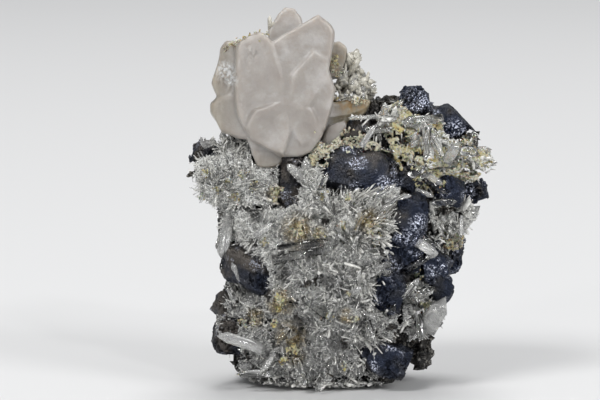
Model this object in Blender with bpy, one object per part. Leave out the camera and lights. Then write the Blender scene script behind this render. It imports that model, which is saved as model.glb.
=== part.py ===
"""Galena specimen: lead-grey galena crystals, a calcite rosette, sprays of needle quartz and yellow
carbonate crust, grown together on a broken lump of dark sulphide rock that stands on a flat break.

Shapes are worked out in millimetres and scaled to metres at the end. +Z is up, the face of the specimen
looks along -Y, and the origin lies on the flat break that it rests on, below its crystals. Places are
written as across (X), up and depth (Y), where up is the height seen from in front, looking down by
VIEW_TILT.
"""

import math
import random

import bmesh
import bpy
from mathutils import Euler, Matrix, Vector, noise

METRES_PER_MM = 0.001
VIEW_TILT = math.radians(7)
GAP = 0.3                 # clearance between pieces that touch
SLIVER = 1e-4             # edges shorter than this are closed up
ON_PLANE = 1e-5           # points this near to a cutting plane lie on it
FLAT_WITHIN = math.radians(1.5)   # faces this near to one plane are joined
LOWEST_TIP = 0.45         # crystals end this far above the surface that the rock rests on
MATRIX_SIDES = 18
MATRIX_RINGS = 11
MATRIX_SQUARENESS = 2.6   # exponent of the rock's superellipse sections
MATRIX_ROUGHNESS = ((2.4, 14.0), (1.3, 7.0))   # size of a bump and of the patch it covers
MATRIX_EDGE_SHARE = 0.9   # how far towards its own edge the rock's face is used to root crystals
GALENA_EDGE_CUT_FROM = 5.0   # galena with at least this half width has its edges cut as well as its corners
GALENA_CORNERS = (0.92, 1.06)   # how unevenly its corners are cut, as shares of the stated cut
GALENA_EDGES = (0.84, 0.93)     # where its edges are cut, as shares of the way out to the edge
GALENA_LEAN = (14, 16)    # how far a crystal may lean about X and about Z, in degrees
POINT_OFFSET = 0.3        # how far a quartz point stands off its axis, as a share of its half width
POINT_LENGTH = (1.1, 1.7)   # length of its point's faces, in half widths
LEAST_PRISM = 0.4         # share of its length that is prism, at the least
CRYSTAL_TAPER = 0.92      # width at the shoulder, as a share of the width at the root
SPRAY_TILT = (0.8, 0.05)  # how far a spray's crystals turn to its side and upwards, for each step forward
SPRAY_SPREAD = (0.55, 0.25, 0.55)   # how widely they are strewn about that, along X, Y and Z
LUMP_CORNERS = (0.92, 1.08)     # how unevenly a lump's corners stand out, as shares of its radius
LUMP_CLEARANCE = 1.3      # gaps by which a lump grows as a cutter: its faces lie inside its corners
LUMP_CORE = 0.88          # share of a spray's radius that its solid core fills
LUMP_SINK = 0.15          # share of its radius by which a spray's centre is sunk in the rock
BED_DEPTH = 14.0          # how far in front of the middle a bed's outline is read
BED_BACK = 3.0            # a bed wraps round the rock's sides to about this depth
BED_RAG = (4.0, 8.0)      # how far its edge there wanders, and over what length
BED_REACH = 60.0          # a bed's cutter runs this far out

# Rock sections: height, middle across, half width, middle depth, half depth
MATRIX_SECTIONS = (
    (0.0, -3.5, 16.5, 4.0, 13.0),
    (2.5, -3.5, 18.5, 3.5, 14.5),
    (9.0, -3.8, 21.0, 2.5, 16.0),
    (17.0, -3.5, 22.5, 2.0, 16.5),
    (26.0, -2.0, 23.5, 2.0, 17.0),
    (35.0, -0.5, 25.5, 2.0, 17.0),
    (44.0, -0.5, 27.0, 2.0, 16.5),
    (52.0, 0.0, 30.0, 2.5, 15.0),
    (58.0, 2.0, 27.5, 3.0, 13.5),
    (62.5, 4.0, 22.5, 3.5, 11.5),
    (66.0, 6.5, 14.5, 3.5, 8.5),
    (68.0, 8.0, 8.0, 3.5, 5.0),
)

# Galena crystals by node: across, up and depth of the middle; half width, half depth, half height; turn
# about Y in degrees; how far out its corners are cut, where 1 is not at all
GALENA = {
    "galena_heart": (
        (3.4, 49.3, -9.5, 8.3, 6.5, 5.2, 12, 0.78),
        (10.6, 48.4, -10.5, 3.2, 4.0, 2.8, 40, 0.62),
        (15.0, 48.0, -9.0, 3.4, 4.0, 3.2, -18, 0.70),
    ),
    "galena_plate": ((-12.8, 47.2, -10.5, 2.7, 4.5, 6.3, 2, 0.84),),
    "galena_bead": ((2.5, 58.7, -9.0, 3.1, 4.5, 3.1, 25, 0.60),),
    "galena_crown": (
        (16.8, 66.0, -2.0, 4.5, 5.0, 4.0, 20, 0.62),
        (25.0, 61.8, -2.5, 5.2, 6.0, 4.6, -38, 0.70),
    ),
    "galena_right_inner": ((24.8, 45.3, -10.5, 2.8, 4.0, 2.8, 15, 0.66),),
    "galena_right_outer": ((30.6, 45.0, -3.5, 3.4, 4.0, 3.0, -20, 0.68),),
    "galena_chain": (
        (14.7, 39.8, -13.0, 4.3, 5.0, 4.8, -10, 0.66),
        (13.4, 31.8, -13.5, 4.7, 5.0, 4.9, 8, 0.72),
        (10.8, 22.9, -13.5, 3.3, 5.0, 4.9, 14, 0.80),
    ),
    "galena_right_low": (
        (20.9, 27.2, -9.5, 3.5, 4.5, 3.6, 30, 0.68),
        (22.0, 22.6, -7.0, 2.6, 3.5, 2.8, 10, 0.64),
    ),
    "galena_oval": ((-21.6, 26.9, -10.0, 6.9, 5.0, 3.9, 24, 0.78),),
    "galena_foot_left": (
        (-25.6, 11.8, -5.0, 5.3, 6.0, 5.2, 18, 0.70),
        (-27.6, 18.2, -4.0, 3.2, 4.5, 3.2, 35, 0.64),
    ),
    "galena_foot_right": (
        (10.6, 6.0, -10.5, 4.9, 5.5, 4.0, 22, 0.82),
        (6.4, 8.2, -10.5, 3.2, 4.0, 2.9, -15, 0.74),
    ),
    "galena_shoulder": ((-32.2, 53.6, -1.0, 4.0, 4.5, 4.0, 30, 0.70),),
    "galena_back_upper": (
        (12.0, 50.0, 15.5, 6.5, 5.0, 5.8, 20, 0.70),
        (4.8, 45.2, 16.0, 4.2, 4.5, 4.2, -25, 0.66),
    ),
    "galena_back_lower": ((-13.0, 27.0, 16.5, 5.6, 5.0, 5.2, -15, 0.74),),
    "galena_back_side": ((22.5, 31.0, 9.0, 5.2, 5.5, 4.8, 12, 0.68),),
}

# Calcite blades: outline across and up; depth of the rim, of the front face and of the back face; how the
# front face leans back to the right and upwards, in millimetres for each millimetre
CALCITE_BLADES = (
    (((-24.7, 79), (-22, 81), (-19.5, 82), (-16.5, 79.5), (-13, 66), (-14, 53.2), (-18, 54.5),
      (-22.5, 58), (-25.6, 65)), -9, -16.5, -2, (-0.22, 0.02)),
    (((-17, 79.3), (-13, 82), (-9.5, 84.1), (-6, 86.1), (-2.3, 82), (-2.8, 78), (-6, 67),
      (-14, 64)), -8, -15.5, 0, (0.02, 0.12)),
    (((-7, 78), (-4.3, 76), (-2.3, 68.5), (-2.9, 65), (-4.4, 59.7), (-6.5, 57.5), (-10, 55),
      (-13, 64)), -10, -17.5, -2, (0.34, 0.0)),
    (((-23, 60), (-20, 56.3), (-15, 53), (-10, 52.9), (-7.5, 54), (-5, 58.5), (-7, 64), (-14, 66),
      (-21, 64)), -11, -17.5, -3, (0.0, -0.2)),
    (((-22.5, 58), (-21.5, 54), (-20.3, 51), (-18.5, 50.5), (-15.5, 51), (-13, 53), (-14, 58)),
     -8, -13, -2, (0.0, -0.1)),
    (((-29, 77), (-27.5, 80), (-25.5, 79.8), (-23, 77), (-23, 68), (-29, 67.5),
      (-30.9, 70.1)), -4, -9.5, 1.5, (-0.25, 0.0)),
    (((-29.3, 67.2), (-31.2, 65), (-30.7, 62), (-28.6, 58.8), (-24, 57.5), (-22, 61),
      (-24, 67)), -5, -11, 1.5, (-0.3, 0.0)),
    (((-18, 82), (-15.5, 86.2), (-13.8, 87.9), (-11.5, 87.5), (-9.5, 84), (-11, 78),
      (-17, 78)), -3.5, -8, 2.5, (0.0, 0.2)),
    (((-4, 79.6), (-1.2, 80), (0.8, 78), (0.6, 76), (-0.5, 72), (-5, 71)), -3.5, -7, 1, (0.2, 0.0)),
    (((-4, 61), (-3.4, 65), (2.7, 66.8), (6.3, 66.3), (5.8, 63.5), (-1.5, 59.8)),
     -6, -9.5, 0, (0.1, 0.1)),
    (((-27, 74), (-22, 79), (-14, 82), (-7, 80), (-3, 74), (-4, 66), (-10, 62), (-20, 62), (-26, 66)),
     2, -4, 6.5, (0.0, 0.0)),
)
BLADE_FRONT = 0.8    # share of a blade's outline that its flat front face fills
BLADE_BACK = 0.7

# Quartz sprays by node: across, up, radius, extra depth in front of the rock
QUARTZ_SPRAYS = {
    "quartz_shoulder": (
        (-31.4, 50.2, 5.2, 0), (-25.4, 51.4, 5.0, 1), (-29.6, 45.0, 5.0, 0), (-20.6, 46.8, 5.2, 1),
        (-27.0, 55.2, 3.6, 0),
    ),
    "quartz_pillar": ((-8.0, 45.6, 3.8, 2.5), (-7.6, 41.8, 3.6, 2.5)),
    "quartz_front": (
        (-24.4, 35.6, 4.8, 0), (-17.4, 36.4, 5.4, 1), (-9.4, 36.6, 5.6, 1), (3.0, 37.8, 6.8, 2),
        (9.4, 37.4, 4.8, 1.5), (-2.4, 32.0, 5.8, 1), (5.4, 30.4, 5.2, 1.5), (-10.6, 27.2, 5.8, 1),
        (-3.0, 24.6, 5.6, 1), (4.0, 23.4, 5.8, 1.5), (-15.4, 20.6, 5.4, 1), (-24.2, 17.6, 5.4, 0),
        (-20.6, 11.6, 5.6, 0), (-7.6, 18.0, 5.6, 1), (1.2, 16.8, 5.6, 1.5), (8.6, 16.4, 4.8, 1),
        (-12.4, 12.0, 5.4, 0.5), (-3.2, 10.4, 5.8, 1), (-17.6, 5.6, 5.2, 0), (-9.4, 5.4, 5.2, 1),
        (1.6, 5.8, 4.8, 1),
    ),
    "quartz_foot_right": ((17.0, 19.7, 4.7, 1), (16.5, 14.3, 4.9, 1)),
    "quartz_mid_right": ((20.4, 32.0, 3.8, 0),),
    "quartz_flank_right": ((22.8, 39.2, 4.6, 0), (27.2, 39.4, 4.4, 0)),
    "quartz_crown": ((20.4, 56.0, 4.6, 0), (27.4, 54.6, 4.6, 0), (32.0, 52.6, 4.2, 0)),
    "quartz_bridge": ((9.8, 61.8, 3.4, 0),),
    "quartz_back_upper": ((-17.4, 44.0, 5.4, 0), (-11.6, 45.0, 5.0, 0)),
    "quartz_back_lower": ((8.0, 15.6, 5.4, 0), (2.4, 19.0, 4.8, 0)),
}
SPRAY_CRYSTALS = {"quartz_foot_right": 2, "quartz_front": 0}   # crystals drawn on each spray
SPRAY_CRYSTALS_ELSE = 1
CRYSTAL_WIDTH = (1.4, 2.6)
CRYSTAL_REACH = (1.06, 1.24)     # shares of the spray's radius at which its crystals end

# Beds, the continuous growth under the sprays and lumps: thickness, then the outline across and up
BEDS = {
    "quartz_shoulder": (3.4, (
        (-36, 52.5), (-36, 48), (-34, 42), (-29.5, 40.6), (-15.5, 42.2), (-14.8, 50.4), (-21, 51),
        (-23, 57), (-30, 58))),
    "quartz_pillar": (4.6, ((-11, 41), (-5, 41), (-4.6, 48), (-5.6, 51), (-10.4, 50.6), (-10.4, 45))),
    "quartz_front": (3.0, (
        (-29, 40.2), (-15, 41.4), (-5, 44), (6, 45), (12, 46), (13, 38), (12, 27), (12.4, 18.6),
        (12.4, 11.2), (8, 1.5), (-24, 0.8), (-25, 6), (-30.5, 12), (-29, 24), (-29.5, 32))),
    "quartz_foot_right": (2.6, (
        (13.8, 23), (13.4, 12), (17, 9.5), (20.5, 11), (23, 14), (24.5, 18.5), (23, 20.5), (18, 24.5))),
    "quartz_mid_right": (2.2, ((17.8, 34.5), (17.8, 29.6), (22, 29.6), (25.5, 30.6), (25, 34))),
    "quartz_flank_right": (2.4, (
        (19.5, 42.6), (20, 37.5), (23, 34.8), (28, 35), (31, 40), (30.5, 42.6))),
    "quartz_crown": (3.0, (
        (16, 62.6), (23, 61.4), (24, 58), (29.5, 58), (35, 53), (34, 50), (28, 52.5), (24, 50), (19, 50),
        (17.4, 57))),
    "quartz_back_upper": (2.4, (
        (-22, 36), (-23.5, 41), (-20, 47.5), (-14, 50), (-7, 48), (-6, 42), (-9.5, 37), (-14, 33.6))),
    "quartz_back_lower": (2.4, ((-3, 21), (3, 24.4), (9, 22), (13.4, 17), (11, 11), (5, 9.4), (-1, 13))),
    "crust_crown": (2.2, (
        (8, 61), (13, 65.4), (22, 61), (27, 58.4), (34, 53), (33.5, 48), (24, 48), (19, 45.4), (13, 50),
        (10.5, 56))),
    "crust_heart": (4.6, (
        (-8, 50.6), (-8, 54), (-6, 56), (0, 56.6), (7, 56.2), (9, 54.4), (3, 54), (-1, 53.4), (-3, 50.4))),
    "crust_flank": (2.2, ((22.5, 31.6), (26, 30.4), (28.2, 32.4), (27.6, 36), (25, 37), (23, 34.4))),
}
BACK_NODES = ("quartz_back_upper", "quartz_back_lower")

# Single quartz crystals by node: root across, up, depth; tip across, up, depth; width
QUARTZ_CRYSTALS = {
    "quartz_shoulder": (
        (-30.0, 52.0, -3.0, -33.6, 57.8, -4.5, 1.8), (-27.0, 54.0, -4.0, -28.8, 59.4, -6.0, 1.6),
        (-18.5, 43.0, -12.0, -16.4, 46.4, -19.0, 1.5),
    ),
    "quartz_pillar": (
        (-6.6, 44.8, -14.0, -13.2, 51.6, -20.0, 2.2), (-7.6, 47.0, -13.0, -9.4, 53.0, -17.0, 2.6),
        (-7.0, 42.0, -14.0, -3.2, 45.4, -20.0, 1.5),
    ),
    "quartz_front": (
        (-25.6, 40.0, -6.0, -28.8, 29.9, -8.5, 2.5), (-26.4, 37.6, -6.0, -28.2, 33.4, -11.0, 2.2),
        (-15.4, 31.6, -16.0, -3.6, 33.9, -19.5, 2.2), (-16.4, 29.2, -15.0, -1.6, 32.6, -20.0, 2.4),
        (-25.1, 21.9, -9.0, -28.9, 28.2, -13.0, 1.5), (-23.2, 21.6, -10.0, -26.1, 28.4, -16.0, 1.5),
        (5.0, 41.0, -17.0, 12.0, 46.6, -19.5, 1.6), (2.0, 37.5, -18.0, 6.8, 44.2, -24.0, 1.8),
        (0.6, 33.8, -17.0, 0.8, 45.0, -21.5, 1.6), (2.6, 27.4, -17.0, 10.6, 31.5, -20.5, 1.6),
        (4.0, 25.6, -17.0, 11.2, 28.8, -21.0, 1.6), (6.0, 24.8, -16.0, 11.2, 26.5, -20.5, 1.9),
        (-19.2, 8.5, -8.0, -29.9, 12.1, -12.0, 2.6), (-16.0, 8.6, -13.0, -12.6, 14.4, -21.0, 1.7),
        (5.4, 15.0, -16.0, 6.6, 9.6, -20.5, 1.7), (8.2, 14.8, -13.6, 12.2, 19.4, -18.4, 2.8),
        (-17.3, 2.6, -9.0, -25.2, 2.2, -11.0, 2.1), (-11.3, 6.1, -12.0, -8.9, 0.2, -17.0, 2.0),
        (-1.8, 4.4, -13.0, -6.5, -1.6, -19.0, 1.4), (-20.0, 6.4, -9.0, -23.8, 3.4, -13.0, 2.4),
        (-4.6, 16.4, -16.0, -9.8, 20.6, -21.5, 1.8), (-1.0, 20.0, -16.0, 4.0, 22.8, -22.0, 1.8),
    ),
    "quartz_foot_right": (
        (19.2, 12.6, -6.0, 23.8, 20.6, -8.0, 4.4), (17.4, 17.0, -8.0, 17.6, 10.0, -13.0, 1.6),
        (16.4, 18.6, -11.0, 14.8, 24.4, -16.0, 1.8),
    ),
    "quartz_mid_right": ((18.6, 31.0, -9.0, 22.4, 33.8, -14.5, 1.6),),
    "quartz_flank_right": (
        (26.8, 35.6, -5.0, 31.6, 41.8, -7.0, 3.4), (27.6, 41.0, -5.0, 27.4, 34.4, -11.0, 1.6),
        (27.2, 39.6, -5.0, 27.4, 45.6, -10.0, 1.7), (22.0, 42.0, -8.0, 25.8, 42.4, -13.0, 1.6),
    ),
    "quartz_crown": (
        (25.0, 61.5, -6.5, 12.4, 60.6, -11.5, 2.9), (19.6, 51.6, -9.0, 19.0, 61.0, -14.0, 2.1),
        (24.4, 50.6, -8.0, 27.6, 57.2, -14.0, 2.8), (30.6, 52.6, -5.0, 35.9, 51.4, -6.0, 2.1),
        (29.6, 54.4, -5.0, 34.6, 54.8, -7.0, 2.0), (28.6, 55.4, -5.0, 31.4, 59.2, -7.0, 2.2),
        (17.6, 58.6, -9.0, 15.6, 55.0, -14.0, 2.0),
    ),
    "quartz_bridge": (
        (9.0, 60.0, -9.0, 9.6, 65.9, -10.5, 1.9), (10.4, 62.6, -9.0, 0.8, 61.9, -13.5, 1.0),
        (10.4, 63.4, -8.0, 14.0, 66.4, -10.0, 1.2),
    ),
    "quartz_calcite_side": (
        (0.6, 70.0, -2.0, 3.5, 78.4, -4.5, 2.9), (1.4, 71.0, -2.0, 1.0, 77.4, -7.0, 2.3),
        (2.4, 73.4, -2.0, 7.2, 67.2, -5.0, 1.5), (3.6, 66.0, -2.0, 7.4, 69.4, -4.5, 2.3),
        (1.0, 68.0, -2.0, 5.2, 71.4, -7.5, 2.1), (0.8, 68.0, -2.0, -0.6, 73.4, -8.0, 2.2),
    ),
    "quartz_back_upper": ((-16.0, 42.0, 14.0, -21.0, 49.0, 21.0, 2.2),),
    "quartz_back_lower": ((4.0, 18.0, 14.0, 9.0, 25.0, 21.5, 2.2),),
}
SIDE_ROOT = (1.8, 69.6, -1.6, 3.4)   # the knob that carries the crystals beside the calcite, and its radius

# Carbonate crust by node: across, up, radius, extra depth in front of the rock
CRUST_LUMPS = {
    "crust_crown": ((12.6, 59.6, 4.2, 0), (16.4, 53.6, 4.0, 0), (28.6, 50.2, 3.8, 0)),
    "crust_heart": ((-4.8, 53.6, 2.8, 3),),
    "crust_flank": ((25.8, 33.6, 2.8, 0),),
}
CRUST_FLATTEN = 0.75

COLOURS = {
    "sulphide": ((0.012, 0.011, 0.010), 0.55, 0.2),
    "galena": ((0.075, 0.085, 0.12), 0.32, 0.85),
    "calcite": ((0.52, 0.46, 0.41), 0.25, 0.0),
    "quartz": ((0.42, 0.42, 0.41), 0.15, 0.0),
    "crust": ((0.60, 0.49, 0.22), 0.85, 0.0),
}


def clear_scene():
    """Empties the scene of whatever the file opened with."""
    for thing in list(bpy.data.objects):
        bpy.data.objects.remove(thing)


def seen(across, up, depth):
    """The point, in millimetres, that stands at this place in the front view."""
    height = (up - depth * math.sin(VIEW_TILT)) / math.cos(VIEW_TILT)
    return Vector((across, depth, height))


def material(name):
    """A Principled BSDF with the mineral's colour, roughness and metallic value."""
    colour, roughness, metallic = COLOURS[name]
    made = bpy.data.materials.new(name)
    made.use_nodes = True
    shader = made.node_tree.nodes["Principled BSDF"]
    shader.inputs["Base Color"].default_value = (*colour, 1.0)
    shader.inputs["Roughness"].default_value = roughness
    shader.inputs["Metallic"].default_value = metallic
    made.diffuse_color = (*colour, 1.0)
    return made


def section_at(height):
    """The rock's middle and half sizes at a height, read between its sections."""
    for low, high in zip(MATRIX_SECTIONS, MATRIX_SECTIONS[1:]):
        if height <= high[0]:
            share = max(0.0, (height - low[0]) / (high[0] - low[0]))
            return [a + (b - a) * share for a, b in zip(low[1:], high[1:])]
    return list(MATRIX_SECTIONS[-1][1:])


def rock_face(across, height, behind):
    """The depth of the rock's front or back face at this place."""
    middle, half_width, middle_depth, half_depth = section_at(height)
    share = min(MATRIX_EDGE_SHARE, abs(across - middle) / half_width)
    bulge = half_depth * (1 - share ** MATRIX_SQUARENESS) ** (1 / MATRIX_SQUARENESS)
    return middle_depth + bulge if behind else middle_depth - bulge


def rough(point, size, scale):
    """A smooth bump value for a point, the same each run."""
    return noise.noise(point / scale) * size


def convex(points):
    """The closed convex body around the points."""
    shape = bmesh.new()
    for point in points:
        shape.verts.new(point)
    hull = bmesh.ops.convex_hull(shape, input=shape.verts[:])
    spare = [item for item in hull["geom_interior"] if isinstance(item, bmesh.types.BMVert)]
    bmesh.ops.delete(shape, geom=spare, context="VERTS")
    bmesh.ops.recalc_face_normals(shape, faces=shape.faces[:])
    return shape


def cut_back(shape, point, normal):
    """Takes off what lies beyond a plane and closes the cut."""
    parts = shape.verts[:] + shape.edges[:] + shape.faces[:]
    bmesh.ops.bisect_plane(
        shape, geom=parts, dist=ON_PLANE, plane_co=point, plane_no=normal, clear_outer=True
    )
    bmesh.ops.holes_fill(shape, edges=shape.edges[:], sides=0)
    bmesh.ops.recalc_face_normals(shape, faces=shape.faces[:])
    return shape


def keep_above_rest(shape):
    """Takes off what would reach the surface that the rock rests on."""
    if min(vert.co.z for vert in shape.verts) < LOWEST_TIP:
        cut_back(shape, Vector((0, 0, LOWEST_TIP)), Vector((0, 0, -1)))
    return shape


def matrix_body(grow):
    """The rock: superellipse sections with uneven sides, flat underneath."""
    shape = bmesh.new()
    lowest, highest = MATRIX_SECTIONS[0][0], MATRIX_SECTIONS[-1][0]
    rings = []
    for step in range(MATRIX_RINGS):
        height = lowest + (highest - lowest) * step / (MATRIX_RINGS - 1)
        middle, half_width, middle_depth, half_depth = section_at(height)
        ring = []
        for side in range(MATRIX_SIDES):
            angle = 2 * math.pi * side / MATRIX_SIDES
            c, s = math.cos(angle), math.sin(angle)
            power = 2 / MATRIX_SQUARENESS
            x = math.copysign(abs(c) ** power, c)
            y = math.copysign(abs(s) ** power, s)
            place = Vector((x * half_width, y * half_depth, height))
            bump = sum(rough(place, size, scale) for size, scale in MATRIX_ROUGHNESS)
            point = Vector((
                middle + x * (half_width + bump + grow),
                middle_depth + y * (half_depth + bump + grow),
                height,
            ))
            ring.append(shape.verts.new(point))
        rings.append(ring)
    for vert in rings[0]:
        vert.co.z -= grow
    for vert in rings[-1]:
        vert.co.z += grow
    for low, high in zip(rings, rings[1:]):
        for side in range(MATRIX_SIDES):
            after = (side + 1) % MATRIX_SIDES
            shape.faces.new((low[side], low[after], high[after], high[side]))
    shape.faces.new(rings[0][::-1])
    shape.faces.new(rings[-1])
    bmesh.ops.triangulate(shape, faces=shape.faces[:], quad_method="FIXED", ngon_method="BEAUTY")
    return shape


def bed_body(name, grow):
    """The growth that covers the rock inside an outline: a thicker rock, kept only there."""
    thickness, outline = BEDS[name]
    behind = name in BACK_NODES
    near, far = (BED_BACK, BED_REACH) if behind else (-BED_REACH, BED_BACK)
    depth = BED_DEPTH if behind else -BED_DEPTH
    middle = sum((Vector(point) for point in outline), Vector((0, 0))) / len(outline)
    shape = bmesh.new()
    corners = []
    for point in outline:
        away = Vector(point) - middle
        edge = middle + away * (1 + grow / away.length)
        corners.append(seen(edge.x, edge.y, depth))
    base = [shape.verts.new((at.x, near - grow, max(at.z, LOWEST_TIP))) for at in corners]
    pushed = bmesh.ops.extrude_face_region(shape, geom=[shape.faces.new(base)])
    moved = [item for item in pushed["geom"] if isinstance(item, bmesh.types.BMVert)]
    bmesh.ops.translate(shape, vec=(0, far - near + 2 * grow, 0), verts=moved)
    for vert in base if behind else moved:
        vert.co.y += rough(Vector((vert.co.x, 0, vert.co.z)), *BED_RAG)
    bmesh.ops.triangulate(shape, faces=shape.faces[:])
    bmesh.ops.recalc_face_normals(shape, faces=shape.faces[:])
    return boolean(shell_of(matrix_body(thickness + grow)), shell_of(shape), "INTERSECT")


def crystal_planes(corner_cut, edges_too, draw):
    """Planes that cut the corners of a cube as an octahedron would and, where asked, a little of its edges."""
    planes = []
    for x in (-1, 1):
        for y in (-1, 1):
            for z in (-1, 1):
                normal = Vector((x, y, z)).normalized()
                out = math.sqrt(3) * corner_cut * draw.uniform(*GALENA_CORNERS)
                planes.append((normal * out, normal))
    for a, b in ((0, 1), (1, 2), (0, 2)) if edges_too else ():
        for first in (-1, 1):
            for second in (-1, 1):
                edge = Vector((0, 0, 0))
                edge[a] = first
                edge[b] = second
                normal = edge.normalized()
                planes.append((normal * math.sqrt(2) * draw.uniform(*GALENA_EDGES), normal))
    return planes


def galena_body(row, grow):
    """One galena crystal: a cut cube, a little uneven, stretched and turned."""
    across, up, depth, half_width, half_depth, half_height, turn, corner_cut = row
    draw = random.Random(f"galena {across} {up}")
    shape = bmesh.new()
    bmesh.ops.create_cube(shape, size=2.0)
    for point, normal in crystal_planes(corner_cut, half_width >= GALENA_EDGE_CUT_FROM, draw):
        cut_back(shape, point, normal)
    about_x, about_z = (math.radians(draw.uniform(-most, most)) for most in GALENA_LEAN)
    lean = Euler((about_x, math.radians(turn), about_z)).to_matrix().to_4x4()
    sizes = Matrix.Diagonal((half_width + grow, half_depth + grow, half_height + grow, 1.0))
    place = Matrix.Translation(seen(across, up, depth)) @ lean @ sizes
    bmesh.ops.transform(shape, matrix=place, verts=shape.verts[:])
    return keep_above_rest(shape)


def blade_body(blade, grow):
    """One calcite blade: its rim follows the outline, between a leaning flat front and a flat back."""
    outline, rim, front, back, (lean_across, lean_up) = blade
    middle = sum((Vector(point) for point in outline), Vector((0, 0))) / len(outline)
    points = []
    for point in outline:
        away = Vector(point) - middle
        edge = middle + away * (1 + grow / away.length)
        face = middle + away * BLADE_FRONT * (1 + grow / away.length)
        rear = middle + away * BLADE_BACK * (1 + grow / away.length)
        lean = (face.x - middle.x) * lean_across + (face.y - middle.y) * lean_up
        points.append(seen(edge.x, edge.y, rim))
        points.append(seen(face.x, face.y, front - grow + lean))
        points.append(seen(rear.x, rear.y, back + grow))
    return convex(points)


def quartz_body(root, tip, width, grow, draw):
    """One quartz crystal: a six-sided prism with an uneven six-sided point, and a little taper."""
    along = (tip - root).normalized()
    root = root - along * grow
    tip = tip + along * grow * 2
    half = width / 2 + grow
    length = (tip - root).length
    turn = along.to_track_quat("Z", "Y").to_matrix().to_4x4()
    spin = draw.uniform(0, math.pi / 3)
    off_x, off_y = (draw.uniform(-POINT_OFFSET, POINT_OFFSET) * half for _ in range(2))
    points = [Vector((off_x, off_y, length))]
    for side in range(6):
        angle = spin + side * math.pi / 3
        ray = Vector((math.cos(angle), math.sin(angle), 0)) * half
        shoulder = max(length - half * draw.uniform(*POINT_LENGTH), length * LEAST_PRISM)
        points.append(ray)
        points.append(ray * CRYSTAL_TAPER + Vector((0, 0, shoulder)))
    shape = convex(points)
    bmesh.ops.transform(shape, matrix=Matrix.Translation(root) @ turn, verts=shape.verts[:])
    return keep_above_rest(shape)


def lump_body(middle, radius, flatten, draw, grow):
    """A low faceted ball, flattened front to back, with uneven corners."""
    shape = bmesh.new()
    bmesh.ops.create_icosphere(shape, subdivisions=1, radius=1.0)
    turn = Euler([draw.uniform(0, math.pi) for _ in range(3)]).to_matrix()
    for vert in shape.verts:
        vert.co = turn @ vert.co * (radius * draw.uniform(*LUMP_CORNERS) + grow * LUMP_CLEARANCE)
        vert.co.y *= flatten
    bmesh.ops.translate(shape, vec=middle, verts=shape.verts[:])
    return keep_above_rest(shape)


def spray_middle(across, up, radius, extra, behind):
    """Where a spray or a crust lump is rooted on the rock's face."""
    face = rock_face(across, up, behind)
    outward = 1 if behind else -1
    return seen(across, up, face + outward * (extra - radius * LUMP_SINK))


def outward_direction(middle, draw, behind):
    """A direction out of the rock: away from its upright axis, mostly to its face, widely spread."""
    centre, half_width, _, _ = section_at(middle.z)
    side = (middle.x - centre) / half_width
    forward = 1.0 if behind else -1.0
    sideways, upwards = SPRAY_TILT
    spread = Vector([draw.gauss(0, width) for width in SPRAY_SPREAD])
    return (Vector((side * sideways, forward, upwards)) + spread).normalized()


def spray_bodies(name, grow):
    """Every core and crystal of one quartz node."""
    draw = random.Random(f"sprays {name}")
    behind = name in BACK_NODES
    bodies = []
    for across, up, radius, extra in QUARTZ_SPRAYS.get(name, ()):
        middle = spray_middle(across, up, radius, extra, behind)
        bodies.append(lump_body(middle, radius * LUMP_CORE, 1.0, draw, grow))
        for _ in range(SPRAY_CRYSTALS.get(name, SPRAY_CRYSTALS_ELSE)):
            along = outward_direction(middle, draw, behind)
            tip = middle + along * radius * draw.uniform(*CRYSTAL_REACH)
            width = draw.uniform(*CRYSTAL_WIDTH)
            bodies.append(quartz_body(middle, tip, width, grow, draw))
    if name == "quartz_calcite_side":
        across, up, depth, radius = SIDE_ROOT
        bodies.append(lump_body(seen(across, up, depth), radius, 1.0, draw, grow))
    for row in QUARTZ_CRYSTALS[name]:
        bodies.append(quartz_body(seen(*row[0:3]), seen(*row[3:6]), row[6], grow, draw))
    return bodies


def crust_bodies(name, grow):
    """The lumps of one patch of crust."""
    draw = random.Random(f"crust {name}")
    bodies = []
    for across, up, radius, extra in CRUST_LUMPS[name]:
        middle = spray_middle(across, up, radius, extra, False)
        bodies.append(lump_body(middle, radius, CRUST_FLATTEN, draw, grow))
    return bodies


def shell_of(shape):
    """A shape as a mesh; the bmesh is freed."""
    made = bpy.data.meshes.new("shell")
    shape.to_mesh(made)
    shape.free()
    return made


def mesh_of(shells):
    """One mesh of several shells."""
    whole = bmesh.new()
    for shell in shells:
        whole.from_mesh(shell)
    made = bpy.data.meshes.new("shells")
    whole.to_mesh(made)
    whole.free()
    return made


def box_of(mesh):
    """The lowest and the highest corner of a mesh."""
    points = [vert.co for vert in mesh.vertices]
    low = [min(point[axis] for point in points) for axis in range(3)]
    high = [max(point[axis] for point in points) for axis in range(3)]
    return low, high


def boxes_meet(first, second):
    """Whether two boxes share any space."""
    return all(
        first[0][axis] <= second[1][axis] and second[0][axis] <= first[1][axis] for axis in range(3)
    )


def boolean(base, other, operation):
    """Blender's exact Boolean of two meshes, either of which may hold shells that overlap."""
    collection = bpy.context.scene.collection.objects
    holder = bpy.data.objects.new("holder", base)
    tool = bpy.data.objects.new("tool", other)
    for thing in (holder, tool):
        collection.link(thing)
    cut = holder.modifiers.new("boolean", "BOOLEAN")
    cut.operation = operation
    cut.object = tool
    cut.solver = "EXACT"
    cut.use_self = True
    depsgraph = bpy.context.evaluated_depsgraph_get()
    made = bpy.data.meshes.new_from_object(holder.evaluated_get(depsgraph))
    for thing in (holder, tool):
        bpy.data.objects.remove(thing)
    return made


def united(shells):
    """The union of closed shells that overlap."""
    if len(shells) == 1:
        return shells[0]
    return boolean(mesh_of(shells[1:]), mesh_of(shells[:1]), "UNION")


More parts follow.
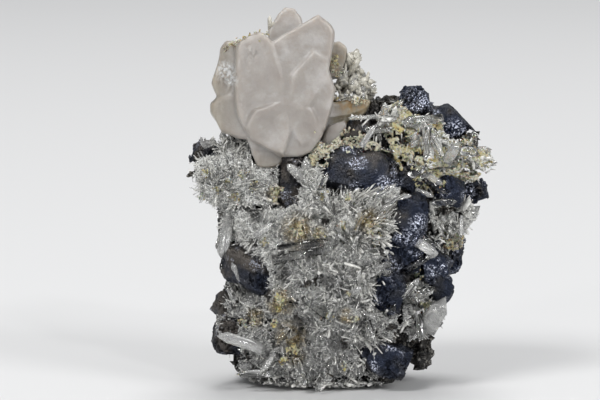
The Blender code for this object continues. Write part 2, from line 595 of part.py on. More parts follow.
def largest_island(mesh):
    """Keeps the biggest connected piece that cutting left, with its flat faces joined."""
    shape = bmesh.new()
    shape.from_mesh(mesh)
    left = set(shape.verts)
    islands = []
    while left:
        reach = [left.pop()]
        island = set(reach)
        while reach:
            vert = reach.pop()
            for edge in vert.link_edges:
                other = edge.other_vert(vert)
                if other in left:
                    left.discard(other)
                    island.add(other)
                    reach.append(other)
        islands.append(island)
    islands.sort(key=spread_of, reverse=True)
    spare = [vert for island in islands[1:] for vert in island]
    bmesh.ops.delete(shape, geom=spare, context="VERTS")
    bmesh.ops.dissolve_degenerate(shape, dist=SLIVER, edges=shape.edges[:])
    bmesh.ops.dissolve_limit(shape, angle_limit=FLAT_WITHIN, verts=shape.verts[:], edges=shape.edges[:])
    bmesh.ops.triangulate(shape, faces=shape.faces[:])
    shape.to_mesh(mesh)
    shape.free()
    return mesh


def spread_of(island):
    """The diagonal of the box around an island's points."""
    low = [min(vert.co[axis] for vert in island) for axis in range(3)]
    high = [max(vert.co[axis] for vert in island) for axis in range(3)]
    return math.dist(low, high)


def place_node(name, mesh, finish):
    """Scales a finished mesh to metres and gives it its object and material."""
    mesh.transform(Matrix.Scale(METRES_PER_MM, 4))
    mesh.name = name
    mesh.materials.clear()
    mesh.materials.append(finish)
    node = bpy.data.objects.new(name, mesh)
    bpy.context.scene.collection.objects.link(node)


def node_shells(name, grow):
    """The closed shells of any crystal node, at their size or grown by the gap as cutters."""
    if name.startswith("galena"):
        shapes = [galena_body(row, grow) for row in GALENA[name]]
    elif name.startswith("calcite"):
        shapes = [blade_body(blade, grow) for blade in CALCITE_BLADES]
    elif name.startswith("crust"):
        shapes = crust_bodies(name, grow)
    else:
        shapes = spray_bodies(name, grow)
    shells = [shell_of(shape) for shape in shapes]
    if name in BEDS:
        shells.append(bed_body(name, grow))
    return shells


def build():
    """The rock first, then each mineral in the order it grew, cut back where an earlier one stands."""
    clear_scene()
    finishes = {name: material(name) for name in COLOURS}
    place_node("sulphide_matrix", shell_of(matrix_body(0.0)), finishes["sulphide"])
    order = [*GALENA, "calcite_rosette", *QUARTZ_SPRAYS, "quartz_calcite_side", *CRUST_LUMPS]
    earlier = [shell_of(matrix_body(GAP))]
    for name in order:
        mesh = united(node_shells(name, 0.0))
        space = box_of(mesh)
        cutters = [shell for shell in earlier if boxes_meet(space, box_of(shell))]
        mesh = boolean(mesh, mesh_of(cutters), "DIFFERENCE")
        place_node(name, largest_island(mesh), finishes[name.split("_")[0]])
        earlier += node_shells(name, GAP)


build()
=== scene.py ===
import math
import random

import bmesh
import bpy
import numpy as np
from mathutils import Euler, Matrix, Vector, noise
from mathutils.bvhtree import BVHTree
from mathutils.kdtree import KDTree


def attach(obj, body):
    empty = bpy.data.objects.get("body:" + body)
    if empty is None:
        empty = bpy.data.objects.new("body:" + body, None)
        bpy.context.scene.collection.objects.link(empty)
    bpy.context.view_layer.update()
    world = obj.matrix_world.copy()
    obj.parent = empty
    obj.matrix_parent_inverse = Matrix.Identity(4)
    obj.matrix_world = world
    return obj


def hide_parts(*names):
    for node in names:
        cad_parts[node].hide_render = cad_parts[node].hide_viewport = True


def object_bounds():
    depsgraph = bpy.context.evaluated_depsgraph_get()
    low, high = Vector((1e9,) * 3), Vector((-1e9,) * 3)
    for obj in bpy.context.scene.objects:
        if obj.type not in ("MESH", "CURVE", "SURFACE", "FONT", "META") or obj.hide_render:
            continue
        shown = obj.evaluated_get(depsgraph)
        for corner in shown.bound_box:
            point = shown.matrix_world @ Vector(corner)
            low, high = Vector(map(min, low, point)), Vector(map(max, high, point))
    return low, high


# Shapes are worked out in millimetres and scaled to metres when a piece is made. A place in the front view is
# across (X), up and depth (Y), where up is the height seen from in front, looking down by VIEW_TILT.
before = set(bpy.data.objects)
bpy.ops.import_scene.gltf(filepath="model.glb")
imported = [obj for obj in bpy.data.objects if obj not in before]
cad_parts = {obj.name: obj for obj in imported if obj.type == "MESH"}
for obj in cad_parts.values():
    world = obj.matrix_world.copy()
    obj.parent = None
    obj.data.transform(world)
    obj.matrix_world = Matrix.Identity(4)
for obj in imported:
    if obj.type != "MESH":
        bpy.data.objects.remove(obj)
cad_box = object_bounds()

METRES_PER_MM = 0.001
VIEW_TILT = math.radians(7)
FLOOR_CLEAR = 0.35            # no crystal reaches lower than this above the floor
BOX_MARGIN = 0.8              # crystals may stand this far out of the CAD box
STRAY = 0.5                   # needles may end this far outside their node's box
FAR_IN_FRONT = 80.0           # rays that look for a surface start this far from the middle

# The rock's sections, as in the solids: height, middle across, half width, middle depth, half depth
ROCK_SECTIONS = (
    (0.0, -3.5, 16.5, 4.0, 13.0),
    (2.5, -3.5, 18.5, 3.5, 14.5),
    (9.0, -3.8, 21.0, 2.5, 16.0),
    (17.0, -3.5, 22.5, 2.0, 16.5),
    (26.0, -2.0, 23.5, 2.0, 17.0),
    (35.0, -0.5, 25.5, 2.0, 17.0),
    (44.0, -0.5, 27.0, 2.0, 16.5),
    (52.0, 0.0, 30.0, 2.5, 15.0),
    (58.0, 2.0, 27.5, 3.0, 13.5),
    (62.5, 4.0, 22.5, 3.5, 11.5),
    (66.0, 6.5, 14.5, 3.5, 8.5),
    (68.0, 8.0, 8.0, 3.5, 5.0),
)
ROCK_SQUARENESS = 2.6
ROCK_EDGE_SHARE = 0.9

# Needle sprays by piece: across, up and reach of each spray, then how many millimetres in front of the rock it
# starts, then which way it leans, across and up
SPRAYS = {
    "quartz_shoulder": (
        (-31.0, 49.3, 4.4, 1.0, -0.3, 0.0), (-26.3, 50.3, 4.7, 1.5, 0.0, 0.4), (-28.0, 45.1, 4.4, 1.0, -0.3, -0.2),
        (-32.5, 46.3, 3.4, 0.5, -0.4, -0.2), (-22.1, 47.9, 4.2, 2.0, 0.2, 0.2), (-18.5, 45.5, 4.2, 2.0, 0.4, -0.3),
        (-23.2, 43.9, 3.8, 1.5, 0.0, -0.5), (-24.4, 54.0, 2.8, 2.0, 0.1, 0.8), (-28.4, 54.6, 3.0, 0.5, -0.3, 0.9),
        (-33.2, 51.9, 2.9, 0.0, -0.5, 0.3), (-30.2, 56.4, 2.2, 0.5, -0.2, 0.7), (-27.4, 57.2, 2.4, 0.5, 0.0, 0.7),
        (-24.8, 57.4, 2.4, 1.0, 0.1, 0.6), (-22.6, 55.8, 2.2, 1.5, 0.2, 0.4),
    ),
    "quartz_pillar": (
        (-7.9, 45.1, 3.8, 3.0, 0.0, 0.0), (-7.4, 41.5, 3.2, 3.0, 0.2, -0.4), (-8.4, 49.3, 2.8, 3.0, -0.3, 0.6),
    ),
    "quartz_front": (
        (-25.6, 36.8, 4.2, 0.5, -0.7, 0.2), (-20.9, 33.3, 4.5, 1.0, 0.0, -0.2), (-24.4, 41.5, 3.8, 1.0, -0.6, 0.4),
        (-16.2, 37.5, 4.5, 1.5, 0.0, 0.2), (-17.4, 31.0, 3.6, 1.5, 0.0, -0.4), (-10.3, 37.5, 4.8, 1.5, 0.0, 0.0),
        (-5.5, 35.6, 3.6, 1.5, 0.0, 0.0), (-2.4, 40.4, 4.4, 1.5, -0.3, 0.7), (0.6, 41.6, 4.6, 2.5, 0.3, 0.8),
        (4.6, 42.8, 4.0, 2.5, 0.8, 0.7), (8.4, 43.2, 3.6, 2.0, 1.0, 0.6), (-5.0, 42.6, 3.4, 2.0, -0.3, 0.6),
        (3.4, 37.2, 6.4, 2.0, 0.5, 0.7), (6.6, 39.0, 5.6, 2.0, 0.9, 0.8), (9.2, 37.0, 4.6, 2.0, 1.2, 0.4),
        (2.7, 33.8, 5.2, 2.5, 0.4, 0.2), (7.4, 34.0, 4.8, 2.0, 0.9, 0.1), (-0.6, 35.0, 4.6, 2.0, -0.2, 0.3),
        (-10.3, 26.2, 4.8, 1.5, -0.2, 0.2), (-5.5, 28.1, 4.4, 1.5, 0.0, 0.3), (-0.8, 26.2, 4.8, 2.0, 0.0, 0.0),
        (4.4, 25.0, 5.2, 2.0, 0.3, 0.1), (7.4, 26.2, 4.4, 1.5, 0.7, 0.1), (-13.8, 25.0, 3.4, 1.5, -0.4, 0.2),
        (-3.2, 22.7, 4.4, 1.5, 0.0, -0.2), (2.7, 21.5, 3.8, 2.0, 0.1, -0.3), (-25.4, 19.2, 3.8, 0.5, -0.5, 0.3),
        (-20.9, 18.0, 4.3, 1.0, 0.0, 0.0), (-24.4, 13.9, 4.3, 0.5, -0.5, 0.0), (-18.5, 13.2, 4.3, 1.0, 0.0, 0.0),
        (-15.0, 19.2, 3.6, 1.0, 0.1, 0.2), (-20.9, 9.7, 3.8, 0.5, -0.3, -0.2), (-28.0, 14.9, 3.0, 0.0, -0.8, 0.0),
        (-7.9, 18.0, 4.3, 1.5, 0.0, 0.2), (-2.0, 19.2, 4.3, 1.5, 0.0, 0.2), (5.1, 18.0, 4.7, 2.0, 0.2, 0.1),
        (9.8, 16.8, 3.8, 1.5, 0.7, 0.0), (-5.5, 13.2, 4.3, 1.5, 0.0, 0.0), (1.5, 12.0, 4.3, 2.0, 0.1, 0.0),
        (-10.3, 12.0, 3.8, 1.0, 0.0, 0.0), (6.7, 10.9, 3.8, 2.0, 0.4, -0.1), (-2.0, 7.3, 3.8, 1.5, 0.0, -0.3),
        (-7.9, 7.8, 3.4, 1.0, 0.0, -0.2), (3.9, 5.5, 3.4, 1.5, 0.2, -0.4), (-17.4, 5.0, 4.3, 0.5, 0.0, -0.2),
        (-11.4, 5.0, 4.3, 0.5, 0.0, -0.3), (-4.4, 4.5, 4.3, 0.5, 0.0, -0.3), (1.5, 3.8, 3.4, 0.5, 0.1, -0.4),
        (-20.9, 4.0, 2.9, 0.5, -0.5, -0.2), (-14.0, 30.5, 4.0, 1.5, 0.0, 0.0), (-8.2, 32.4, 4.0, 1.5, 0.1, 0.0),
        (-20.6, 1.2, 2.2, 1.5, -0.4, -0.1), (-16.4, 0.8, 2.4, 2.0, -0.1, -0.1), (-12.6, 0.5, 2.4, 2.2, 0.0, -0.1),
        (-8.6, 0.4, 2.4, 2.2, 0.0, -0.1), (-4.6, 0.4, 2.4, 2.2, 0.0, -0.1), (-0.6, 0.6, 2.4, 2.0, 0.0, -0.1),
        (3.2, 0.8, 2.2, 1.8, 0.1, -0.1), (6.4, 1.2, 2.0, 1.5, 0.2, -0.1), (-27.6, 8.6, 2.6, 0.0, -0.6, -0.3),
        (-14.6, 8.8, 3.4, 1.0, 0.0, 0.0), (-1.5, 30.9, 4.2, 1.5, 0.0, 0.0),
        (5.4, 30.9, 4.4, 1.5, 0.2, 0.0), (-19.8, 39.8, 3.8, 1.5, 0.0, 0.3), (-13.0, 22.0, 3.6, 1.0, 0.0, 0.0),
    ),
    "quartz_foot_right": (
        (16.9, 14.8, 3.6, 0.0, 0.3, 0.0), (15.7, 20.3, 3.4, 0.0, 0.0, 0.4), (17.6, 11.8, 2.4, 0.0, 0.2, -0.3),
        (20.4, 18.2, 2.8, 0.0, 0.6, 0.2),
    ),
    "quartz_mid_right": ((20.4, 32.0, 3.4, 0.0, 0.2, 0.2), (19.2, 33.2, 2.6, 0.5, -0.1, 0.4)),
    "quartz_flank_right": (
        (22.8, 39.9, 4.3, 0.0, 0.1, 0.2), (26.3, 36.8, 3.8, 0.0, 0.6, -0.1), (27.4, 40.6, 3.6, 0.0, 0.8, 0.2),
        (21.0, 37.2, 2.8, 0.5, 0.0, -0.3),
    ),
    "quartz_crown": (
        (31.0, 51.8, 3.6, 0.0, 0.7, 0.1), (33.4, 51.4, 3.0, 0.0, 0.9, 0.0), (28.4, 56.4, 3.0, 0.0, 0.5, 0.6),
        (22.8, 49.6, 2.2, 0.5, 0.0, -0.2),
    ),
    "quartz_bridge": ((10.0, 61.4, 3.2, 1.0, -0.3, 0.4), (12.2, 61.6, 3.4, 1.0, -0.2, 0.2)),
    "quartz_calcite_side": (),
    "quartz_back_upper": (
        (-17.4, 44.0, 4.8, 0.5, -0.1, 0.2), (-11.6, 45.0, 4.4, 0.5, 0.1, 0.2), (-15.0, 39.4, 4.0, 0.5, 0.0, -0.2),
        (-10.0, 40.2, 3.2, 0.5, 0.3, -0.1), (-19.6, 40.4, 3.2, 0.5, -0.5, 0.0),
    ),
    "quartz_back_lower": (
        (8.0, 15.6, 4.8, 0.5, 0.2, 0.0), (2.4, 19.0, 4.2, 0.5, 0.0, 0.3), (2.6, 13.4, 3.6, 0.5, -0.1, -0.2),
        (6.6, 20.4, 3.0, 0.5, 0.1, 0.4),
    ),
}
BACK_PIECES = ("quartz_back_upper", "quartz_back_lower")

# Single crystals by piece: root across, up, depth; tip across, up, depth; width
SINGLE_CRYSTALS = {
    "quartz_shoulder": (
        (-30.0, 52.0, -3.0, -33.6, 57.8, -4.5, 1.8), (-27.0, 54.0, -4.0, -28.8, 59.4, -6.0, 1.6),
        (-18.5, 43.0, -12.0, -16.4, 46.4, -19.0, 1.5),
    ),
    "quartz_pillar": (
        (-6.6, 44.8, -14.0, -13.2, 51.6, -20.0, 2.2), (-7.6, 47.0, -13.0, -9.4, 53.0, -17.0, 2.6),
        (-7.0, 42.0, -14.0, -3.2, 45.4, -20.0, 1.5),
    ),
    "quartz_front": (
        (-26.2, 39.0, -9.0, -27.6, 30.6, -14.0, 1.5), (-27.0, 39.6, -9.0, -28.8, 29.4, -13.0, 2.1),
        (-27.4, 39.2, -8.5, -29.9, 31.6, -11.5, 1.3),
        (-15.4, 31.6, -16.0, -3.6, 33.9, -19.5, 2.2), (-16.4, 29.2, -15.0, -1.6, 32.6, -20.0, 2.4),
        (-25.1, 21.9, -9.0, -28.9, 28.2, -13.0, 1.5), (-23.2, 21.6, -10.0, -26.1, 28.4, -16.0, 1.5),
        (5.0, 41.0, -17.0, 12.0, 46.6, -19.5, 1.6), (2.0, 37.5, -18.0, 6.8, 44.2, -24.0, 1.8),
        (2.6, 27.4, -17.0, 10.6, 31.5, -20.5, 1.6),
        (4.0, 25.6, -17.0, 11.2, 28.8, -21.0, 1.6), (6.0, 24.8, -16.0, 11.2, 26.5, -20.5, 1.9),
        (-16.0, 8.6, -13.0, -12.6, 14.4, -21.0, 1.7),
        (5.4, 15.0, -16.0, 6.6, 9.6, -20.5, 1.7), (8.2, 14.8, -13.6, 12.2, 19.4, -18.4, 2.8),
        (-20.0, 6.4, -9.0, -23.8, 3.4, -13.0, 2.4), (-2.6, 2.8, -12.0, -6.2, -0.9, -15.5, 1.3),
        (-4.6, 16.4, -16.0, -9.8, 20.6, -21.5, 1.8), (-1.0, 20.0, -16.0, 4.0, 22.8, -22.0, 1.8),
    ),
    "quartz_foot_right": (
        (20.6, 15.0, -3.0, 23.4, 19.4, -4.0, 3.0),
    ),
    "quartz_mid_right": ((18.6, 31.0, -9.0, 22.4, 33.8, -14.5, 1.6),),
    "quartz_flank_right": (
        (26.8, 35.6, -5.0, 31.6, 41.8, -7.0, 3.4), (27.6, 41.0, -5.0, 27.4, 34.4, -11.0, 1.6),
        (27.2, 39.6, -5.0, 27.4, 45.6, -10.0, 1.7), (22.0, 42.0, -8.0, 25.8, 42.4, -13.0, 1.6),
    ),
    "quartz_crown": (
        (22.8, 61.9, -7.0, 13.4, 61.0, -11.5, 2.7), (19.6, 51.6, -9.0, 19.0, 61.0, -14.0, 2.1),
        (24.4, 50.6, -8.0, 27.6, 57.2, -14.0, 2.8), (30.6, 52.6, -5.0, 35.9, 51.4, -6.0, 2.1),
        (29.6, 54.4, -5.0, 34.6, 54.8, -7.0, 2.0), (28.6, 55.4, -5.0, 31.4, 59.2, -7.0, 2.2),
        (17.6, 58.6, -9.0, 15.6, 55.0, -14.0, 2.0),
    ),
    "quartz_bridge": (
        (9.0, 60.0, -9.0, 9.6, 65.9, -10.5, 1.9), (10.4, 62.6, -9.0, 0.8, 61.9, -13.5, 1.0),
        (10.4, 63.4, -8.0, 14.0, 66.4, -10.0, 1.2),
    ),
    "quartz_calcite_side": (
        (-17.2, 82.6, -8.0, -17.4, 86.0, -8.6, 1.1), (-16.4, 82.6, -8.0, -16.6, 84.6, -8.8, 0.9),
        (1.0, 67.6, -3.0, 5.2, 72.4, -6.0, 3.4), (4.2, 66.0, -2.0, 7.3, 69.4, -4.0, 2.6),
        (3.2, 72.2, -3.0, 6.4, 69.4, -5.0, 1.2), (1.6, 66.4, -4.0, 2.8, 70.6, -7.5, 2.8),
        (0.6, 70.0, -2.0, 3.5, 78.4, -4.5, 2.9), (1.4, 71.0, -2.0, 1.0, 77.4, -7.0, 2.3),
        (2.4, 73.4, -2.0, 7.2, 67.2, -5.0, 1.5), (3.6, 66.0, -2.0, 7.4, 69.4, -4.5, 2.3),
        (1.0, 68.0, -2.0, 5.2, 71.4, -7.5, 2.1), (0.8, 68.0, -2.0, -0.6, 73.4, -8.0, 2.2),
        (0.2, 71.2, -5.0, 3.8, 76.4, -7.8, 1.8), (2.6, 73.2, -4.0, 6.3, 68.9, -6.6, 0.9),
        (5.0, 67.6, -3.0, 7.4, 70.0, -5.0, 2.0), (-0.4, 66.8, -5.0, 2.6, 70.6, -8.4, 2.3),
    ),
    "quartz_back_upper": ((-16.0, 42.0, 14.0, -21.0, 49.0, 21.0, 2.2),),
    "quartz_back_lower": ((4.0, 18.0, 14.0, 9.0, 25.0, 21.5, 2.2),),
}
# The knob beside the calcite: middle across, up, depth; spread across, in depth and up; reach, how many
SIDE_KNOB = (
    (1.8, 69.6, -1.6, 1.6, 0.5, 1.2, 3.4, 40), (1.6, 69.4, -6.6, 1.9, 0.6, 1.5, 2.6, 90),
    (1.6, 66.8, -9.8, 2.3, 0.5, 0.5, 1.5, 60),
)

# Crystals that lie on what is behind them: root across, up and height above it; tip across, up and how much
# further forward; width
LYING_CRYSTALS = {
    "quartz_shoulder": ((-22.0, 45.5, 1.5, -17.0, 46.5, 1.5, 1.4), (-30.5, 47.0, 2.0, -27.0, 50.0, 2.0, 1.1)),
    "quartz_pillar": ((-6.4, 43.6, 1.5, -8.4, 48.0, 1.0, 1.3), (-5.4, 46.0, 1.5, -3.9, 49.4, 1.0, 1.2)),
    "quartz_front": (
        (-15.4, 31.6, 2.5, -3.4, 33.8, 1.0, 2.2), (-16.4, 29.0, 2.0, -1.4, 32.4, 1.5, 2.3),
        (2.0, 37.5, 2.0, 7.0, 44.4, 3.0, 1.8), (4.6, 41.0, 1.5, 12.0, 46.6, 2.5, 1.6),
        (-0.8, 33.3, 1.0, 12.2, 42.7, 3.0, 1.5),
        (3.7, 39.7, 2.5, 7.5, 43.6, 1.5, 0.9), (2.4, 36.0, 2.5, 4.6, 40.2, 1.5, 1.0),
        (6.4, 37.4, 2.5, 9.4, 40.6, 1.5, 1.0), (-3.4, 40.6, 2.0, -4.6, 45.4, 1.5, 1.0),
        (2.6, 42.6, 2.0, 8.4, 46.4, 2.0, 0.9), (4.0, 41.8, 2.5, 10.6, 46.0, 2.5, 1.0),
        (5.4, 41.0, 2.5, 13.4, 45.8, 2.5, 0.9), (7.2, 40.4, 2.5, 14.2, 44.6, 2.0, 0.8),
        (-1.6, 41.4, 2.0, 1.4, 45.4, 1.5, 0.8), (9.4, 42.8, 2.0, 15.4, 44.2, 1.5, 0.9),
        (-4.6, 16.4, 1.5, -9.8, 20.6, 3.0, 1.7), (-13.0, 13.2, 1.0, -15.9, 9.7, 2.0, 1.4),
        (-19.2, 8.5, 2.0, -29.6, 12.0, 1.5, 2.8), (-16.2, 7.3, 1.0, -19.2, 2.1, 2.0, 1.5),
        (5.4, 15.0, 2.0, 6.6, 9.6, 2.0, 1.7), (-20.6, 34.5, 2.0, -16.5, 37.6, 2.0, 1.5),
        (-10.3, 2.1, 1.0, -8.9, -0.4, 1.0, 2.0), (-17.3, 2.6, 1.5, -25.2, 2.3, 1.0, 2.1),
        (-16.2, 7.3, 2.0, -19.6, 2.6, 1.5, 1.4), (-11.3, 6.1, 2.0, -8.9, 1.2, 1.5, 2.2),
        (-25.1, 21.9, 1.0, -28.7, 28.0, 1.0, 1.3), (-23.4, 21.8, 1.5, -25.9, 28.4, 1.0, 1.3),
    ),
    "quartz_foot_right": (
        (17.4, 17.0, 1.0, 17.6, 10.0, 2.5, 1.6), (16.4, 18.6, 1.0, 14.8, 24.4, 2.5, 1.8),
        (19.2, 12.6, 2.4, 23.8, 20.6, 1.0, 4.4), (21.6, 13.6, 2.0, 18.4, 19.8, 1.5, 3.0),
        (15.6, 19.4, 1.2, 20.9, 23.2, 1.2, 2.4), (14.2, 21.4, 1.0, 17.6, 25.0, 1.2, 1.7),
        (13.6, 20.4, 1.0, 16.4, 24.0, 1.2, 1.1), (16.6, 22.4, 1.2, 20.2, 21.6, 1.2, 1.6),
    ),
    "quartz_mid_right": (
        (18.6, 31.0, 1.0, 22.4, 33.8, 2.5, 1.6), (14.0, 26.7, 0.9, 19.2, 29.6, 1.0, 2.1),
        (17.0, 33.4, 0.9, 21.7, 30.3, 1.0, 2.4), (17.8, 34.6, 0.7, 21.2, 32.0, 1.0, 1.3),
        (15.6, 27.4, 0.7, 17.8, 30.4, 1.2, 1.3), (19.2, 29.6, 0.8, 21.9, 30.8, 1.0, 1.2),
    ),
    "quartz_flank_right": (
        (22.6, 35.0, 0.6, 25.0, 37.6, 1.5, 0.8), (20.6, 42.4, 1.0, 26.2, 42.6, 1.5, 1.7),
        (27.4, 39.4, 1.2, 27.3, 34.4, 1.5, 0.9),
    ),
    "quartz_crown": (
        (22.6, 61.9, 1.6, 13.6, 61.6, 1.5, 2.4), (19.4, 59.8, 1.0, 18.8, 52.4, 1.5, 1.7),
        (20.5, 57.9, 1.6, 23.1, 52.9, 1.0, 0.9), (20.1, 56.8, 1.0, 22.2, 52.4, 1.0, 1.2),
        (20.8, 59.6, 0.5, 22.4, 57.2, 0.8, 1.0), (23.7, 52.0, 1.2, 26.8, 56.8, 1.5, 2.3),
        (15.2, 48.8, 0.8, 19.0, 51.0, 1.0, 2.3), (17.7, 48.2, 1.4, 20.0, 49.5, 0.6, 1.2),
        (18.6, 49.0, 0.8, 23.2, 46.2, 1.0, 1.8), (14.4, 56.9, 0.4, 17.0, 54.5, 0.8, 1.4),
        (27.8, 45.3, 0.8, 26.8, 41.6, 1.5, 0.9), (16.0, 57.2, 0.5, 17.0, 58.8, 1.0, 1.5),
        (27.2, 54.6, 0.8, 31.8, 53.8, 1.0, 2.6), (19.0, 47.6, 0.8, 24.0, 44.4, 1.0, 1.5),
        (16.6, 45.4, 0.8, 21.0, 43.8, 1.0, 1.3),
    ),
    "quartz_bridge": (
        (10.4, 59.3, 1.0, 4.4, 59.4, 1.0, 1.8), (6.3, 56.7, 0.8, 3.0, 53.4, 2.0, 1.6),
        (8.4, 57.0, 0.6, 7.4, 60.8, 1.5, 1.2), (8.4, 55.0, 0.6, 11.8, 54.2, 0.6, 0.9),
        (6.9, 59.0, 0.8, 4.6, 56.2, 1.5, 1.2), (3.8, 55.4, 1.4, 7.2, 60.4, 0.8, 1.3),
        (2.6, 55.0, 1.4, 5.4, 57.8, 0.8, 1.2), (0.4, 55.6, 1.4, 3.2, 57.4, 0.8, 0.9),
    ),
    "quartz_calcite_side": (),
    "quartz_back_upper": (),
    "quartz_back_lower": (),
}

# Grains along the upper edge of the calcite and ochre beside it: across, up, width, depth
RIM_GRAINS = (
    (-26.8, 78.8, 1.7, -11.4), (-25.6, 78.6, 1.8, -12.6), (-24.6, 79.0, 1.8, -14.2), (-23.4, 79.8, 1.6, -14.4),
    (-22.0, 80.4, 1.5, -14.6), (-20.6, 80.9, 1.4, -14.8), (-19.2, 80.9, 1.5, -15.0), (-18.2, 81.0, 1.3, -13.6), (-2.6, 75.6, 2.2, -8.2), (-2.2, 73.8, 1.8, -8.4),
    (2.4, 65.9, 1.4, -11.6), (4.4, 66.0, 1.2, -11.2), (-2.4, 67.0, 1.2, -12.4), (-1.4, 72.4, 1.2, -9.0),
)

# Places across and up where yellow carbonate shows between the needles, and how wide it is
CRUST_SPOTS = (
    (-32.2, 49.1, 1.4), (-23.7, 49.3, 1.8), (-29.4, 45.5, 1.2), (-33.4, 43.7, 1.3), (-25.4, 43.9, 1.5),
    (-15.5, 45.1, 2.6), (-5.1, 43.9, 1.4), (-10.7, 35.6, 2.6), (-18.5, 33.3, 1.6), (-6.0, 35.2, 1.6),
    (2.0, 43.2, 1.3), (6.7, 36.8, 3.4), (8.0, 38.6, 2.0), (1.0, 43.9, 1.6), (-14.5, 19.1, 1.7), (-16.2, 14.4, 1.8), (-20.9, 14.9, 1.6),
    (-23.2, 14.4, 1.7), (-4.4, 16.3, 1.6), (2.7, 15.6, 1.4), (-11.4, 8.5, 1.8), (-14.3, 5.7, 1.5),
    (0.0, 4.5, 1.3), (7.4, 32.8, 1.6), (19.2, 18.6, 2.0), (16.9, 25.7, 1.8), (24.4, 33.3, 2.4),
    (-2.2, 67.0, 1.6), (3.4, 66.2, 2.4), (0.6, 65.6, 1.8), (-2.6, 57.6, 3.4), (-5.4, 55.4, 2.8),
    (0.6, 56.4, 2.8), (3.4, 57.8, 2.2), (-6.6, 53.6, 2.2), (-0.4, 59.0, 2.0),
    (-14.7, 20.6, 1.8), (-15.3, 17.3, 1.6), (-12.2, 8.8, 1.8), (0.8, 21.4, 1.3), (-0.8, 37.2, 1.6),
    (17.5, 46.5, 2.2), (20.5, 45.2, 2.2), (22.4, 47.0, 1.6), (-27.0, 47.6, 1.3), (-20.6, 46.4, 1.6),
)

NEEDLES_PER_AREA = 1.6       # needles of a spray for each square millimetre of a disc of its reach
NEEDLE_WIDTH = (0.16, 0.85)
NEEDLE_LENGTH = (0.40, 1.12)  # shares of the spray's reach
FILL_PER_AREA = 1.5           # short needles for each square millimetre of ground
FILL_WIDTH = (0.14, 0.46)
FILL_LENGTH = (0.6, 2.3)
MOST_NEEDLES = 8000           # in one piece
GROUND_VOXEL = 0.44
GROUND_CELLS = 2.4            # grains for each cubic millimetre
GROUND_SINK = 0.55            # how far the ground lies inside the solid's skin
GAP_PITCH = 0.36              # gaps in the ground: bumps for each millimetre, where they start, how deep
GAP_START = 0.37
GAP_DEPTH = 1.8
MORE_GAPS = {"quartz_flank_right": 0.23, "quartz_mid_right": 0.10, "quartz_foot_right": 0.11}
FOOT_ROW = (-21.0, 8.0, 190)    # crystals along the foot: from, to, how many
LOW_DRUSE = 26.0              # below this height the front druse has more gaps
TORN_FROM = -8.0              # a druse's ground is torn from this depth on, towards its back edge
LEAST_RISE = 0.6              # how far in front of other pieces the tip of a lying crystal stays
# Druses of larger crystals: how many times wider than elsewhere
COARSE = {
    "quartz_flank_right": 2.1, "quartz_foot_right": 1.9, "quartz_mid_right": 1.7, "quartz_calcite_side": 2.4,
    "quartz_crown": 1.8, "quartz_bridge": 1.7,
}
# How much of the usual needles stand on the ground of these druses
SPARSE = {"quartz_crown": 0.16, "quartz_bridge": 0.3, "quartz_calcite_side": 0.3, "quartz_back_upper": 0.6, "quartz_back_lower": 0.6}


